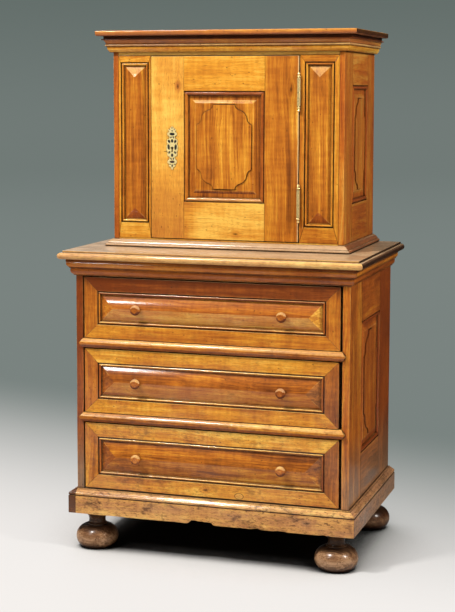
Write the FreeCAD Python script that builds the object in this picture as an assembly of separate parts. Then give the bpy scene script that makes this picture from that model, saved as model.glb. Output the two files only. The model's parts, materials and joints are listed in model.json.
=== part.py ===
import FreeCAD, Part
import os
from collections import namedtuple

# Cabinet on chest: a cupboard with one door, standing on a chest of three drawers.
# Millimetres. X runs to the right, Y to the back and Z up, so the front faces -Y.
# The origin is on the floor, under the middle of the chest's top.

Vector = FreeCAD.Vector
Rect = namedtuple("Rect", "x0 y0 x1 y1")

# Mouldings, each a run of members from its foot: (step across, rise, bulge of an arc).
# A positive bulge is round and a negative one is hollow.
FOOT = ((50, 0, 0), (21, 36, 5.6), (-37, 39, 10.7), (0, 4, 0), (-6, 8, -2), (10, 26, -4), (2, 0, 0),
        (0, 12, 0))
PLINTH = ((24, 0, 0), (0, 60, 0), (-3, 0, 0), (0, 2.5, 0), (1.5, 0, 0), (-6, 11, 3.5), (-9.5, 5.5, 1.2),
          (0, 3, 0))
UNDER_MOULDING = ((6, 0, 0), (0, 3, 0), (8, 18, 3.5), (0, 4, 0), (4, 0, 0), (0, 3, 0), (6, 17, 3.5),
                  (2, 0, 0), (0, 10, 0))
CHEST_TOP_EDGE = ((38, 0, 0), (0, 22, 10), (-4, 0, 0), (0, 6, 0))
BASE_MOULDING = ((21, 0, 0), (0, 10, 4), (-2.5, 0, 0), (0, 1.5, 0), (-13, 12, 1.8), (0, 1.5, 0))
CORNICE = ((10, 0, 0), (0, 2, 0), (7, 17, 2.2), (3, 0, 0), (0, 1.5, 0), (0, 6, 2.4), (0, 1, 0),
           (7, 13, -1.6), (4, 0, 0), (0, 3.5, 1.4), (-5, 0, 0), (0, 10, 0))
CABINET_TOP_EDGE = ((43, 0, 0), (5, 6, 1.4), (0, 6, 0), (-3, 5, 1.2))
BROAD_EDGE = ((-2, 0, 0), (0, 3.6, 0), (-10, 0.6, 3), (0, -2, 0), (-4, 0, 0), (0, 3.8, 0))
NARROW_EDGE = ((-2.5, 0, 0), (0, 3.4, 0), (-6, 0, 2.6), (0, -2.2, 0), (-4, 0, 0), (0, 4.8, 0))
KNOB = ((9, 0, 0), (0, 2, 0), (-2, 6, -1), (10, 5, 1.5), (0, 2, 0), (-11, 8, 3))
FINIAL = ((2.6, 0, 0), (0, 1.5, 0), (0, 8, 2.9), (0, 1.5, 0), (0, 6.5, 2.3), (-1.4, 1.2, 0.3))

# Chest sizes
CHEST_WIDTH = 932.0
CHEST_DEPTH = 622.0
CHEST_SIDE_THICKNESS = 24.0
CHEST_FRONT_STILE = 169.0
CHEST_REAR_STILE = 175.0
CHEST_SIDE_TOP_RAIL = 191.0
CHEST_SIDE_BOTTOM_RAIL = 228.0
CHEST_CARTOUCHE_CORNER = (70.0, 80.0)
CHEST_BOTTOM_THICKNESS = 22.0
CHEST_TOP_FRONT_BOARD = 300.0
FRONT_RAIL_DEPTH = 60.0
DIVIDER_DEPTH = 70.0
DIVIDER_HEIGHT = 32.0
DIVIDER_NOSE = 13.0
DIVIDER_NOSE_POINT = 12.0
RUNNER_WIDTH = 40.0
RUNNER_HEIGHT = 22.0
FOOT_INSET = 50.0
FOOT_BACK_INSET = 75.0
FOOT_SPIGOT_RADIUS = 17.0
FOOT_SPIGOT_LENGTH = 40.0
CORNER_BLOCK = 110.0
PLINTH_BACK_THICKNESS = 20.0

# Drawer sizes, with the openings from the lowest up
LOWER_OPENING_HEIGHT = 228.0
MIDDLE_OPENING_HEIGHT = 218.0
UPPER_OPENING_HEIGHT = 210.0
DRAWER_BACK_ROOM = 47.5
DRAWER_FRONT_THICKNESS = 22.0
DRAWER_PROUD = 1.5
DRAWER_FRONT_GAP = 1.5
LOWER_DRAWER_FRONT_GAP = 5.0
DRAWER_BORDER = 46.0
DRAWER_RIDGE = 7.0
DRAWER_SIDE_THICKNESS = 14.0
DRAWER_SIDE_DROP = 6.0
DRAWER_LAP = 6.0
DRAWER_BOTTOM_THICKNESS = 9.0
DRAWER_BOTTOM_RISE = 12.0
DRAWER_GROOVE = 6.0
KNOB_SPACING = 496.0
KNOB_SPIGOT_RADIUS = 6.0

# Cabinet sizes
CABINET_WIDTH = 800.0
CABINET_DEPTH = 444.0
CABINET_SIDE_THICKNESS = 18.0
CABINET_FRONT_STILE = 113.0
CABINET_REAR_STILE = 103.0
CABINET_SIDE_TOP_RAIL = 162.0
CABINET_SIDE_BOTTOM_RAIL = 152.0
CABINET_CARTOUCHE_CORNER = (46.0, 66.0)
CABINET_BOTTOM_THICKNESS = 20.0
CABINET_FRONT_THICKNESS = 20.0
SILL_HEIGHT = 29.0
LINTEL_HEIGHT = 65.0
SHELF_HEIGHT = 316.0
SHELF_THICKNESS = 18.0
SHELF_SETBACK = 60.0
BEARER = 20.0
PILASTER_LEFT_WIDTH = 116.0
PILASTER_RIGHT_WIDTH = 132.0
PILASTER_FIELD_WIDTH = 101.0
PILASTER_TOP_BORDER = 22.0
PILASTER_BOTTOM_BORDER = 52.0
PILASTER_RIDGE = 2.0

# Door sizes
DOOR_OPENING_HEIGHT = 614.0
DOOR_THICKNESS = 26.0
DOOR_PROUD = 2.0
DOOR_STILE = 115.0
DOOR_TOP_RAIL = 115.0
DOOR_BOTTOM_RAIL = 124.0
DOOR_CARTOUCHE_CORNER = (58.0, 66.0)
DOOR_MOULDING_PROUD = 1.0
KEYHOLE_FROM_EDGE = 74.0
KEYHOLE_BELOW_MIDDLE = 1.0
KEYHOLE_RADIUS = 4.0
KEYHOLE_SLOT = (4.0, 12.0)
ESCUTCHEON_SIZE = (38.0, 144.0)
ESCUTCHEON_THICKNESS = 1.6
LOCK_SIZE = (92.0, 18.0, 100.0)
BOLT_SIZE = (60.0, 8.0, 24.0)
HINGE_RADIUS = 5.5
HINGE_PIN_RADIUS = 3.0
HINGE_BARREL = 45.0
HINGE_PIN_SHORT = 4.0
HINGE_FROM_SILL = 129.0
HINGE_FROM_LINTEL = 121.0
LEAF_THICKNESS = 2.0
DOOR_LEAF_DEPTH = 20.0
POST_LEAF_DEPTH = 16.0

# Joinery shared by chest and cabinet
BACK_THICKNESS = 14.0
BACK_INSET = 2.0
BACK_BOARD_COUNT = 4
BACK_BOARD_GAP = 0.4
TENON_LENGTH = 45.0
TENON_THICKNESS = 8.0
TENON_SHOULDER = 14.0
STUB_TENON = 10.0
STUB_SHOULDER = 6.0
PANEL_LIP = 8.0
GROOVE_WIDTH = 6.0
GROOVE_DEPTH = 7.0
PANEL_BORDER = 14.0
PANEL_BEVEL_WIDTH = 10.0
PANEL_BEVEL_RISE = 5.0
CARTOUCHE_INSET = 5.0
CARTOUCHE_RISE = 4.0
HIP_MARGIN = 2.0

# Shape of a cartouche's corner: the most that it takes of the outline's width or height, the nick's share of
# the corner, and the rise of its arcs for their chord
CARTOUCHE_CORNER_LIMIT = 0.45
CARTOUCHE_NICK = 0.28
CARTOUCHE_SWELL = 0.16

# Clearances
FIT = 0.15
PANEL_PLAY = 1.0
MORTISE_END_PLAY = 2.0
DRAWER_LEFT_PLAY = 5.5
UPPER_DRAWER_RIGHT_PLAY = 7.5
MIDDLE_DRAWER_RIGHT_PLAY = 10.5
LOWER_DRAWER_RIGHT_PLAY = 8.5
DRAWER_TOP_PLAY = 2.5
UPPER_DRAWER_TOP_PLAY = 5.0
RUNNING_PLAY = 0.3
DOOR_END_PLAY = 2.5
DOOR_LATCH_PLAY = 2.0
DOOR_HINGE_PLAY = 3.0
HINGE_STAND_OFF = 0.5
PIN_PLAY = 0.05

UP = Vector(0, 0, 1)
PLATE_FACE = -PANEL_LIP - FIT
# How far a cutting solid runs past what it cuts, and a joining one into what it joins
OVERRUN = 1.0
parts = {}


# Basic shapes
def add(name, *shapes):
    """Put the solids of some shapes into a named node."""
    parts.setdefault(name, []).extend(solid for shape in shapes for solid in shape.Solids)


def box(x0, x1, y0, y1, z0, z1):
    return Part.makeBox(x1 - x0, y1 - y0, z1 - z0, Vector(x0, y0, z0))


def fuse(first, *others):
    return first.fuse(list(others)).removeSplitter()


def total(members, index):
    """Sum of one column of a moulding's members: 0 is how far it steps out, 1 is how high it rises."""
    return sum(member[index] for member in members)


def outline(points):
    """Closed wire from (point, bulge) pairs. The bulge is that of the arc which ends at the point."""
    edges = []
    previous = points[-1][0]
    for point, bulge in points:
        chord = point - previous
        if chord.Length > 1e-6 and bulge == 0:
            edges.append(Part.makeLine(previous, point))
        elif chord.Length > 1e-6:
            edges.append(Part.Arc(previous, (previous + point) / 2 + bulged(chord, bulge), point).toShape())
        previous = point
    return Part.Wire(edges)


def bulged(chord, bulge):
    """Step from the middle of a chord to its arc, to the right of the way that the outline runs."""
    side = chord.cross(UP)
    return side * (bulge / side.Length)


def run(start, members):
    """Points of a moulding's members, one after the other from start, as (point, bulge) pairs."""
    points = [(Vector(start[0], start[1], 0), 0)]
    for across, rise, bulge in members:
        points.append((points[-1][0] + Vector(across, rise, 0), bulge))
    return points


def against_wall(members):
    """Profile of a moulding that stands on the wall at x = 0, from its foot at the origin."""
    top = Vector(0, total(members, 1), 0)
    return Part.Face(outline(run((0, 0), members) + [(top, 0)]))


def turned(members):
    """Solid of revolution about Z, standing on the XY plane."""
    profile = against_wall(members)
    profile.rotate(Vector(), Vector(1, 0, 0), 90)
    return profile.revolve(Vector(), UP, 360)


def polygon(points):
    return Part.Face(Part.makePolygon(points + points[:1]))


def prism(points, low, high):
    """Upright prism on a plan polygon."""
    return polygon([Vector(p.x, p.y, low) for p in points]).extrude(UP * (high - low))


def corners(rect, height=0.0):
    """Corners of a rectangle, anticlockwise from its lower left."""
    return [Vector(rect.x0, rect.y0, height), Vector(rect.x1, rect.y0, height),
            Vector(rect.x1, rect.y1, height), Vector(rect.x0, rect.y1, height)]


def shrink(rect, by):
    return Rect(rect.x0 + by, rect.y0 + by, rect.x1 - by, rect.y1 - by)


def slab(rect, low, high):
    return box(rect.x0, rect.x1, rect.y0, rect.y1, low, high)


# Mouldings with mitred ends
def strip(profile, length, start_growth, end_growth, middle, across, out):
    """Run of moulding whose length at its wall is given. Each end grows by its growth for each step across:
    1 for an outer mitre, -1 for an inner one, 0 for a square end."""
    section = profile.copy()
    upright = FreeCAD.Rotation(Vector(0, 1, 0), UP, Vector(1, 0, 0), "XYZ")
    section.Placement = FreeCAD.Placement(Vector(), upright)
    edge = section.BoundBox
    reach = length / 2 + max(abs(edge.YMin), abs(edge.YMax))
    section.translate(Vector(-reach, 0, 0))
    bar = section.extrude(Vector(2 * reach, 0, 0))
    plan = [Vector(-length / 2 - start_growth * edge.YMin, edge.YMin),
            Vector(length / 2 + end_growth * edge.YMin, edge.YMin),
            Vector(length / 2 + end_growth * edge.YMax, edge.YMax),
            Vector(-length / 2 - start_growth * edge.YMax, edge.YMax)]
    piece = bar.common(prism(plan, edge.ZMin - OVERRUN, edge.ZMax + OVERRUN))
    piece.Placement = FreeCAD.Placement(middle, FreeCAD.Rotation(across.cross(out), across, out, "XYZ"))
    return piece


def case_moulding(members, width, front, back, foot):
    """Moulding round the front and sides of a case: front, left and right strips."""
    profile = against_wall(members)
    middle = (front + back) / 2
    return [strip(profile, width, 1, 1, Vector(0, front, foot), Vector(0, -1, 0), UP),
            strip(profile, back - front, 1, 0, Vector(-width / 2, middle, foot), Vector(-1, 0, 0), UP),
            strip(profile, back - front, 0, 1, Vector(width / 2, middle, foot), Vector(1, 0, 0), UP)]


def moulded_board(members, width, front, back, foot):
    """Board over a case, with a moulded edge that overhangs at the front and sides."""
    core = box(-width / 2, width / 2, front, back, foot, foot + total(members, 1))
    return fuse(core, *case_moulding(members, width, front, back, foot))


def ring(profile, rect):
    """Four mitred strips inside a rectangle, in the order bottom, right, top, left."""
    points = corners(rect)
    strips = []
    for start, end in zip(points, points[1:] + points[:1]):
        along = (end - start).normalize()
        strips.append(strip(profile, (end - start).Length, -1, -1, (start + end) / 2, UP.cross(along), UP))
    return strips


def edge_profile(members, foot, lift):
    """Profile of a moulding that falls from the face of a frame to its opening, down to a flat foot."""
    width = -total(members, 0)
    start = (width, lift - total(members, 1))
    return Part.Face(outline([(Vector(0, foot, 0), 0), (Vector(width, foot, 0), 0)] + run(start, members)))


# Framed panels, drawn flat: x to the right, y up, and z = 0 on the face of the frame
def frame_members(outer, inner, edge, thickness, mitred):
    """Bottom, right, top and left member round a panel. The flat of each runs from outer to inner, and the
    moulded edge, if there is one, from inner into the opening."""
    far = corners(outer)
    near = corners(inner)
    if mitred:
        flats = [[far[i], far[(i + 1) % 4], near[(i + 1) % 4], near[i]] for i in range(4)]
    else:
        flats = [corners(Rect(inner.x0, outer.y0, inner.x1, inner.y0)),
                 corners(Rect(inner.x1, outer.y0, outer.x1, outer.y1)),
                 corners(Rect(inner.x0, inner.y1, inner.x1, outer.y1)),
                 corners(Rect(outer.x0, outer.y0, inner.x0, outer.y1))]
    members = [prism(flat, -thickness, 0) for flat in flats]
    if edge:
        strips = ring(edge_profile(edge, -thickness, 0), inner)
        members = [fuse(member, piece) for member, piece in zip(members, strips)]
    groove = slab(shrink(opening(inner, edge), -GROOVE_DEPTH), -PANEL_LIP - GROOVE_WIDTH, -PANEL_LIP)
    members = [member.cut(groove) for member in members]
    return members if mitred else tenoned(members, outer, inner, thickness)


def opening(inner, edge):
    return shrink(inner, -total(edge, 0)) if edge else inner


def tenoned(members, outer, inner, thickness):
    """Join the bottom and top rails to the stiles with mortise and tenon."""
    bottom, right, top, left = members
    deep = (-thickness - TENON_THICKNESS) / 2
    for low, high in ((outer.y0, inner.y0), (inner.y1, outer.y1)):
        tenon = Rect(inner.x0 - TENON_LENGTH, low + TENON_SHOULDER,
                     inner.x1 + TENON_LENGTH, high - TENON_SHOULDER)
        rail = slab(Rect(inner.x0, low, inner.x1, high), -thickness, 0)
        tongues = slab(tenon, deep, deep + TENON_THICKNESS).cut(rail)
        hole = Rect(tenon.x0 - MORTISE_END_PLAY, tenon.y0 - FIT, tenon.x1 + MORTISE_END_PLAY, tenon.y1 + FIT)
        mortise = slab(hole, deep - FIT, deep + TENON_THICKNESS + FIT)
        left = left.cut(mortise)
        right = right.cut(mortise)
        if low == outer.y0:
            bottom = fuse(bottom, *tongues.Solids)
        else:
            top = fuse(top, *tongues.Solids)
    return [bottom, right, top, left]


def panel_plate(open_rect):
    return slab(shrink(open_rect, PANEL_PLAY - GROOVE_DEPTH), FIT - PANEL_LIP - GROOVE_WIDTH, PLATE_FACE)


def hipped_panel(open_rect, ridge_height):
    """Panel like a hipped roof, its ridge along the longer way and its ends sloped like its sides."""
    rect = shrink(open_rect, HIP_MARGIN)
    half = min(rect.x1 - rect.x0, rect.y1 - rect.y0) / 2
    a, b, c, d = corners(rect, PLATE_FACE)
    inner = corners(shrink(rect, half), ridge_height)
    start, end = inner[0], inner[2]
    if rect.x1 - rect.x0 > rect.y1 - rect.y0:
        slopes = [[a, b, end, start], [b, c, end], [c, d, start, end], [d, a, start]]
    else:
        slopes = [[a, b, start], [b, c, end, start], [c, d, end], [d, a, start, end]]
    roof = Part.Solid(Part.Shell([polygon(points) for points in [[d, c, b, a]] + slopes]))
    return fuse(panel_plate(open_rect), roof)


def cartouche(rect, corner):
    """Outline with a hollow nick, a round swell and a second nick at each corner."""
    middle = Vector((rect.x0 + rect.x1) / 2, (rect.y0 + rect.y1) / 2, 0)
    wide = min(corner[0], CARTOUCHE_CORNER_LIMIT * (rect.x1 - rect.x0))
    high = min(corner[1], CARTOUCHE_CORNER_LIMIT * (rect.y1 - rect.y0))
    half = Vector(rect.x1, rect.y1, 0) - middle
    nick = CARTOUCHE_NICK
    quarter = [Vector(half.x, half.y - high, 0), Vector(half.x - nick * wide, half.y - (1 - nick) * high, 0),
               Vector(half.x - (1 - nick) * wide, half.y - nick * high, 0), Vector(half.x - wide, half.y, 0)]
    swell = [0] + [CARTOUCHE_SWELL * (end - start).Length * way
                   for start, end, way in zip(quarter, quarter[1:], (-1, 1, -1))]
    points = []
    for sx, sy in ((1, 1), (-1, 1), (-1, -1), (1, -1)):
        turned_quarter = [Vector(p.x * sx, p.y * sy, 0) + middle for p in quarter]
        if sx * sy > 0:
            points += list(zip(turned_quarter, swell))
        else:
            points += list(zip(turned_quarter[::-1], [0] + swell[:0:-1]))
    return outline(points)


def fielded_panel(open_rect, border_start, corner):
    """Panel with a flat border, a bevel up to its field and a cartouche standing on the field."""
    bevel_foot = shrink(border_start, PANEL_BORDER)
    field = shrink(bevel_foot, PANEL_BEVEL_WIDTH)
    field_face = PLATE_FACE + PANEL_BEVEL_RISE
    low = corners(bevel_foot, PLATE_FACE)
    high = corners(field, field_face)
    bevel = Part.makeLoft([Part.makePolygon(low + low[:1]), Part.makePolygon(high + high[:1])], True, True)
    plate = Part.Face(cartouche(shrink(field, CARTOUCHE_INSET), corner))
    plate.translate(Vector(0, 0, field_face - OVERRUN))
    raised = plate.extrude(UP * (CARTOUCHE_RISE + OVERRUN))
    return fuse(panel_plate(open_rect), bevel, raised)


def stood(shape, origin, right):
    """Stand a flat-drawn shape upright: its x along `right`, its y up and its z out of the face."""
    upright = shape.copy()
    turn = FreeCAD.Placement(origin, FreeCAD.Rotation(right, UP, right.cross(UP), "XYZ"))
    upright.Placement = turn.multiply(shape.Placement)
    return upright


def on_front(shape, y):
    return stood(shape, Vector(0, y, 0), Vector(1, 0, 0))


def on_side(shape, side, half_width):
    """side is 1 for the right side, whose flat x is Y, and -1 for the left, whose flat x is -Y."""
    return stood(shape, Vector(side * half_width, 0, 0), Vector(0, side, 0))


# Places worked out from the sizes
back_y = (CHEST_DEPTH + against_wall(CHEST_TOP_EDGE).BoundBox.XMax) / 2
chest_front = back_y - CHEST_DEPTH
cabinet_front = back_y - CABINET_DEPTH
back_board_y = back_y - BACK_INSET - BACK_THICKNESS
chest_half = CHEST_WIDTH / 2
chest_inside = chest_half - CHEST_SIDE_THICKNESS
cabinet_half = CABINET_WIDTH / 2
cabinet_inside = cabinet_half - CABINET_SIDE_THICKNESS

plinth_foot = total(FOOT, 1)
drawer_floor = plinth_foot + total(PLINTH, 1)
lower_divider = drawer_floor + LOWER_OPENING_HEIGHT
upper_divider = lower_divider + DIVIDER_HEIGHT + MIDDLE_OPENING_HEIGHT
under_moulding_foot = upper_divider + DIVIDER_HEIGHT + UPPER_OPENING_HEIGHT
chest_top = under_moulding_foot + total(UNDER_MOULDING, 1)
cabinet_foot = chest_top + total(CHEST_TOP_EDGE, 1)
door_sill = cabinet_foot + SILL_HEIGHT
door_lintel = door_sill + DOOR_OPENING_HEIGHT
cabinet_top = door_lintel + LINTEL_HEIGHT


# Chest
def stub_tenons(x, y0, y1, z0, z1):
    """Mortises for the stub tenons at both ends of a rail, and the rail with them."""
    rail = box(-x, x, y0, y1, z0, z1)
    tongue = box(-x - STUB_TENON, x + STUB_TENON, y0 + STUB_SHOULDER, y1 - STUB_SHOULDER,
                 z0 + STUB_SHOULDER, z1 - STUB_SHOULDER)
    hole = box(-x - STUB_TENON - FIT, x + STUB_TENON + FIT,
               y0 + STUB_SHOULDER - FIT, y1 - STUB_SHOULDER + FIT,
               z0 + STUB_SHOULDER - FIT, z1 - STUB_SHOULDER + FIT)
    return fuse(rail, tongue), hole


def make_side(name, side, half_width, front, foot, top, thickness, stiles, rails, corner, mortises):
    """Framed side with its panel. stiles are the front and rear ones, rails the bottom and top ones."""
    before, behind = (front, back_y) if side > 0 else (-back_y, -front)
    left, right = stiles if side > 0 else stiles[::-1]
    outer = Rect(before, foot, behind, top)
    inner = Rect(before + left, foot + rails[0], behind - right, top - rails[1])
    members = [on_side(member, side, half_width)
               for member in frame_members(outer, inner, BROAD_EDGE, thickness, False)]
    for mortise in mortises:
        members = [member.cut(mortise) for member in members]
    add(name + "_frame", *members)
    open_rect = opening(inner, BROAD_EDGE)
    add(name + "_panel", on_side(fielded_panel(open_rect, open_rect, corner), side, half_width))


def make_back(name, half_width, foot, top):
    """Level boards, one above the other, between the sides."""
    pitch = (top - foot) / BACK_BOARD_COUNT
    for i in range(BACK_BOARD_COUNT):
        high = foot + (i + 1) * pitch - (BACK_BOARD_GAP if i + 1 < BACK_BOARD_COUNT else 0)
        add(name, box(-half_width, half_width, back_board_y, back_board_y + BACK_THICKNESS,
                      foot + i * pitch, high))


def make_feet():
    front_y = chest_front + FOOT_INSET
    rear_y = back_y - FOOT_BACK_INSET
    places = {"foot_front_left": (-1, front_y), "foot_front_right": (1, front_y),
              "foot_back_left": (-1, rear_y), "foot_back_right": (1, rear_y)}
    block_top = drawer_floor - CHEST_BOTTOM_THICKNESS
    for name, (side, y) in places.items():
        centre = Vector(side * (chest_half - FOOT_INSET), y, 0)
        spigot = Part.makeCylinder(FOOT_SPIGOT_RADIUS, plinth_foot + FOOT_SPIGOT_LENGTH)
        foot = fuse(turned(FOOT), spigot)
        foot.translate(centre)
        add(name, foot)
        y0 = chest_front if y == front_y else back_board_y - PLINTH_BACK_THICKNESS - CORNER_BLOCK
        block = box(chest_inside - CORNER_BLOCK, chest_inside, y0, y0 + CORNER_BLOCK, plinth_foot, block_top)
        if side < 0:
            block = block.mirror(Vector(), Vector(1, 0, 0))
        socket = Part.makeCylinder(FOOT_SPIGOT_RADIUS + FIT, FOOT_SPIGOT_LENGTH + MORTISE_END_PLAY,
                                   centre + UP * plinth_foot)
        add("foot_corner_blocks", block.cut(socket))


def divider_nose(foot):
    """Half-round front of a drawer divider. Each end runs out to a point on the stile."""
    tip = chest_inside + DIVIDER_NOSE_POINT
    profile = against_wall(((0, DIVIDER_HEIGHT, DIVIDER_NOSE),))
    bar = strip(profile, 2 * tip, 0, 0, Vector(0, chest_front, foot), Vector(0, -1, 0), UP)
    middle = foot + DIVIDER_HEIGHT / 2
    top = foot + DIVIDER_HEIGHT
    front = [(-tip, middle), (-chest_inside, foot), (chest_inside, foot), (tip, middle), (chest_inside, top),
             (-chest_inside, top)]
    pointed = polygon([Vector(x, chest_front, z) for x, z in front])
    return bar.common(pointed.extrude(Vector(0, -DIVIDER_NOSE, 0)))


def make_chest():
    for name, piece in zip(("front", "left", "right"),
                           case_moulding(PLINTH, CHEST_WIDTH, chest_front, back_y, plinth_foot)):
        add("plinth_" + name, piece)
    board_foot = drawer_floor - CHEST_BOTTOM_THICKNESS
    add("plinth_back", box(-chest_inside, chest_inside, back_board_y - PLINTH_BACK_THICKNESS, back_board_y,
                           plinth_foot, board_foot))
    add("chest_bottom_board", box(-chest_inside, chest_inside, chest_front, back_board_y,
                                  board_foot, drawer_floor))
    mortises = []
    for name, foot in (("drawer_divider_lower", lower_divider), ("drawer_divider_upper", upper_divider)):
        rail, hole = stub_tenons(chest_inside, chest_front, chest_front + DIVIDER_DEPTH,
                                 foot, foot + DIVIDER_HEIGHT)
        add(name, fuse(rail, divider_nose(foot)))
        mortises.append(hole)
        for side in (-1, 1):
            runner = box(chest_inside - RUNNER_WIDTH, chest_inside, chest_front + DIVIDER_DEPTH, back_board_y,
                         foot + DIVIDER_HEIGHT - RUNNER_HEIGHT, foot + DIVIDER_HEIGHT)
            add("drawer_runners", runner if side > 0 else runner.mirror(Vector(), Vector(1, 0, 0)))
    rail, hole = stub_tenons(chest_inside, chest_front, chest_front + FRONT_RAIL_DEPTH,
                             under_moulding_foot, chest_top)
    add("chest_top_rail", rail)
    mortises.append(hole)
    for name, side in (("chest_left", -1), ("chest_right", 1)):
        make_side(name, side, chest_half, chest_front, plinth_foot, chest_top, CHEST_SIDE_THICKNESS,
                  (CHEST_FRONT_STILE, CHEST_REAR_STILE), (CHEST_SIDE_BOTTOM_RAIL, CHEST_SIDE_TOP_RAIL),
                  CHEST_CARTOUCHE_CORNER, mortises)
    make_back("chest_back_boards", chest_inside, plinth_foot, chest_top)
    add("chest_top_moulding",
        *case_moulding(UNDER_MOULDING, CHEST_WIDTH, chest_front, back_y, under_moulding_foot))
    top = moulded_board(CHEST_TOP_EDGE, CHEST_WIDTH, chest_front, back_y, chest_top)
    edge = top.BoundBox
    joint = edge.YMin + CHEST_TOP_FRONT_BOARD
    for y0, y1 in ((edge.YMin, joint), (joint, edge.YMax)):
        add("chest_top_boards", top.common(box(edge.XMin, edge.XMax, y0, y1, edge.ZMin, edge.ZMax)))


# Drawers
def make_drawer(name, floor, opening_height, right_play, top_play, front_gap):
    """One drawer at rest, to the left in its opening. Its front ends above the floor, by the front gap."""
    left = -chest_inside + DRAWER_LEFT_PLAY
    right = chest_inside - right_play
    middle = (left + right) / 2
    low = floor + RUNNING_PLAY
    high = floor + opening_height - top_play
    face = chest_front - DRAWER_PROUD
    outer = Rect(left, floor + front_gap, right, high)
    inner = shrink(outer, DRAWER_BORDER)
    side_start = face + DRAWER_FRONT_THICKNESS - DRAWER_LAP
    side_end = back_board_y - DRAWER_BACK_ROOM
    side_top = high - DRAWER_SIDE_DROP
    left_inside = left + DRAWER_SIDE_THICKNESS
    right_inside = right - DRAWER_SIDE_THICKNESS
    bottom_low = low + DRAWER_BOTTOM_RISE
    bottom_high = bottom_low + DRAWER_BOTTOM_THICKNESS
    bottom = box(left_inside - DRAWER_GROOVE + PANEL_PLAY, right_inside + DRAWER_GROOVE - PANEL_PLAY,
                 side_start + PANEL_PLAY, side_end, bottom_low, bottom_high)
    groove = box(left_inside - DRAWER_GROOVE, right_inside + DRAWER_GROOVE, side_start, side_end,
                 bottom_low - FIT, bottom_high + FIT)
    sides = [box(left, left_inside, side_start, side_end, low, side_top),
             box(right_inside, right, side_start, side_end, low, side_top)]
    back = box(left_inside, right_inside, side_end - DRAWER_SIDE_THICKNESS, side_end, bottom_high, side_top)
    front = [on_front(member, face)
             for member in frame_members(outer, inner, NARROW_EDGE, DRAWER_FRONT_THICKNESS, True)]
    for notch in sides + [groove]:
        front = [member.cut(notch) for member in front]
    panel = hipped_panel(opening(inner, NARROW_EDGE), DRAWER_RIDGE)
    spigot_length = DRAWER_RIDGE + PANEL_LIP + GROOVE_WIDTH
    for x in (middle - KNOB_SPACING / 2, middle + KNOB_SPACING / 2):
        seat = Vector(x, (outer.y0 + outer.y1) / 2, DRAWER_RIDGE)
        foot = seat - UP * spigot_length
        spigot = Part.makeCylinder(KNOB_SPIGOT_RADIUS, spigot_length + OVERRUN, UP * -spigot_length)
        knob = fuse(turned(KNOB), spigot)
        knob.translate(seat)
        panel = panel.cut(Part.makeCylinder(KNOB_SPIGOT_RADIUS + FIT, spigot_length, foot))
        add(name + "_knobs", on_front(knob, face))
    add(name + "_front_frame", *front)
    add(name + "_front_panel", on_front(panel, face))
    add(name + "_sides_and_back", *[side.cut(groove) for side in sides], back)
    add(name + "_bottom", bottom)


# Cabinet
def make_cabinet():
    add("cabinet_base_moulding",
        *case_moulding(BASE_MOULDING, CABINET_WIDTH, cabinet_front, back_y, cabinet_foot))
    cornice_foot = cabinet_top - total(CORNICE, 1)
    add("cornice", *case_moulding(CORNICE, CABINET_WIDTH, cabinet_front, back_y, cornice_foot))
    add("cabinet_top_board",
        moulded_board(CABINET_TOP_EDGE, CABINET_WIDTH, cabinet_front, back_y, cabinet_top))
    inside_front = cabinet_front + CABINET_FRONT_THICKNESS
    mortises = []
    for low, high in ((cabinet_foot, door_sill), (door_lintel, cabinet_top)):
        rail, hole = stub_tenons(cabinet_inside, cabinet_front, inside_front, low, high)
        add("cabinet_front_rails", rail)
        mortises.append(hole)
    for name, side in (("cabinet_left", -1), ("cabinet_right", 1)):
        make_side(name, side, cabinet_half, cabinet_front, cabinet_foot, cabinet_top, CABINET_SIDE_THICKNESS,
                  (CABINET_FRONT_STILE, CABINET_REAR_STILE),
                  (CABINET_SIDE_BOTTOM_RAIL, CABINET_SIDE_TOP_RAIL), CABINET_CARTOUCHE_CORNER, mortises)
    make_back("cabinet_back_boards", cabinet_inside, cabinet_foot, cabinet_top)
    add("cabinet_bottom_board", box(-cabinet_inside, cabinet_inside, inside_front, back_board_y,
                                    door_sill - CABINET_BOTTOM_THICKNESS, door_sill))
    shelf_foot = door_sill + SHELF_HEIGHT
    shelf_front = cabinet_front + SHELF_SETBACK
    add("cabinet_shelf", box(-cabinet_inside, cabinet_inside, shelf_front, back_board_y,
                             shelf_foot, shelf_foot + SHELF_THICKNESS))
    for x in (-cabinet_inside, cabinet_inside - BEARER):
        add("shelf_bearers", box(x, x + BEARER, shelf_front, back_board_y, shelf_foot - BEARER, shelf_foot))


def make_pilasters(hinge_leaves):
    spans = {"pilaster_left": (-cabinet_inside, -cabinet_inside + PILASTER_LEFT_WIDTH),
             "pilaster_right": (cabinet_inside - PILASTER_RIGHT_WIDTH, cabinet_inside)}
    for name, (x0, x1) in spans.items():
        outer = Rect(x0, door_sill, x1, door_lintel)
        border = (x1 - x0 - PILASTER_FIELD_WIDTH) / 2
        inner = Rect(x0 + border, door_sill + PILASTER_BOTTOM_BORDER,
                     x1 - border, door_lintel - PILASTER_TOP_BORDER)
        members = [on_front(member, cabinet_front)
                   for member in frame_members(outer, inner, NARROW_EDGE, CABINET_FRONT_THICKNESS, True)]
        add(name + "_frame", *[member.cut(hinge_leaves) for member in members])
        panel = hipped_panel(opening(inner, NARROW_EDGE), PILASTER_RIDGE)
        add(name + "_panel", on_front(panel, cabinet_front))


# Door
def keyhole(centre, front, back):
    """Round hole with a slot below it, from front to back."""
    width, length = KEYHOLE_SLOT
    hole = Part.makeCylinder(KEYHOLE_RADIUS, back - front, Vector(centre.x, front, centre.z), Vector(0, 1, 0))
    slot = box(centre.x - width / 2, centre.x + width / 2, front, back, centre.z - length, centre.z)
    return hole.fuse(slot)


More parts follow.
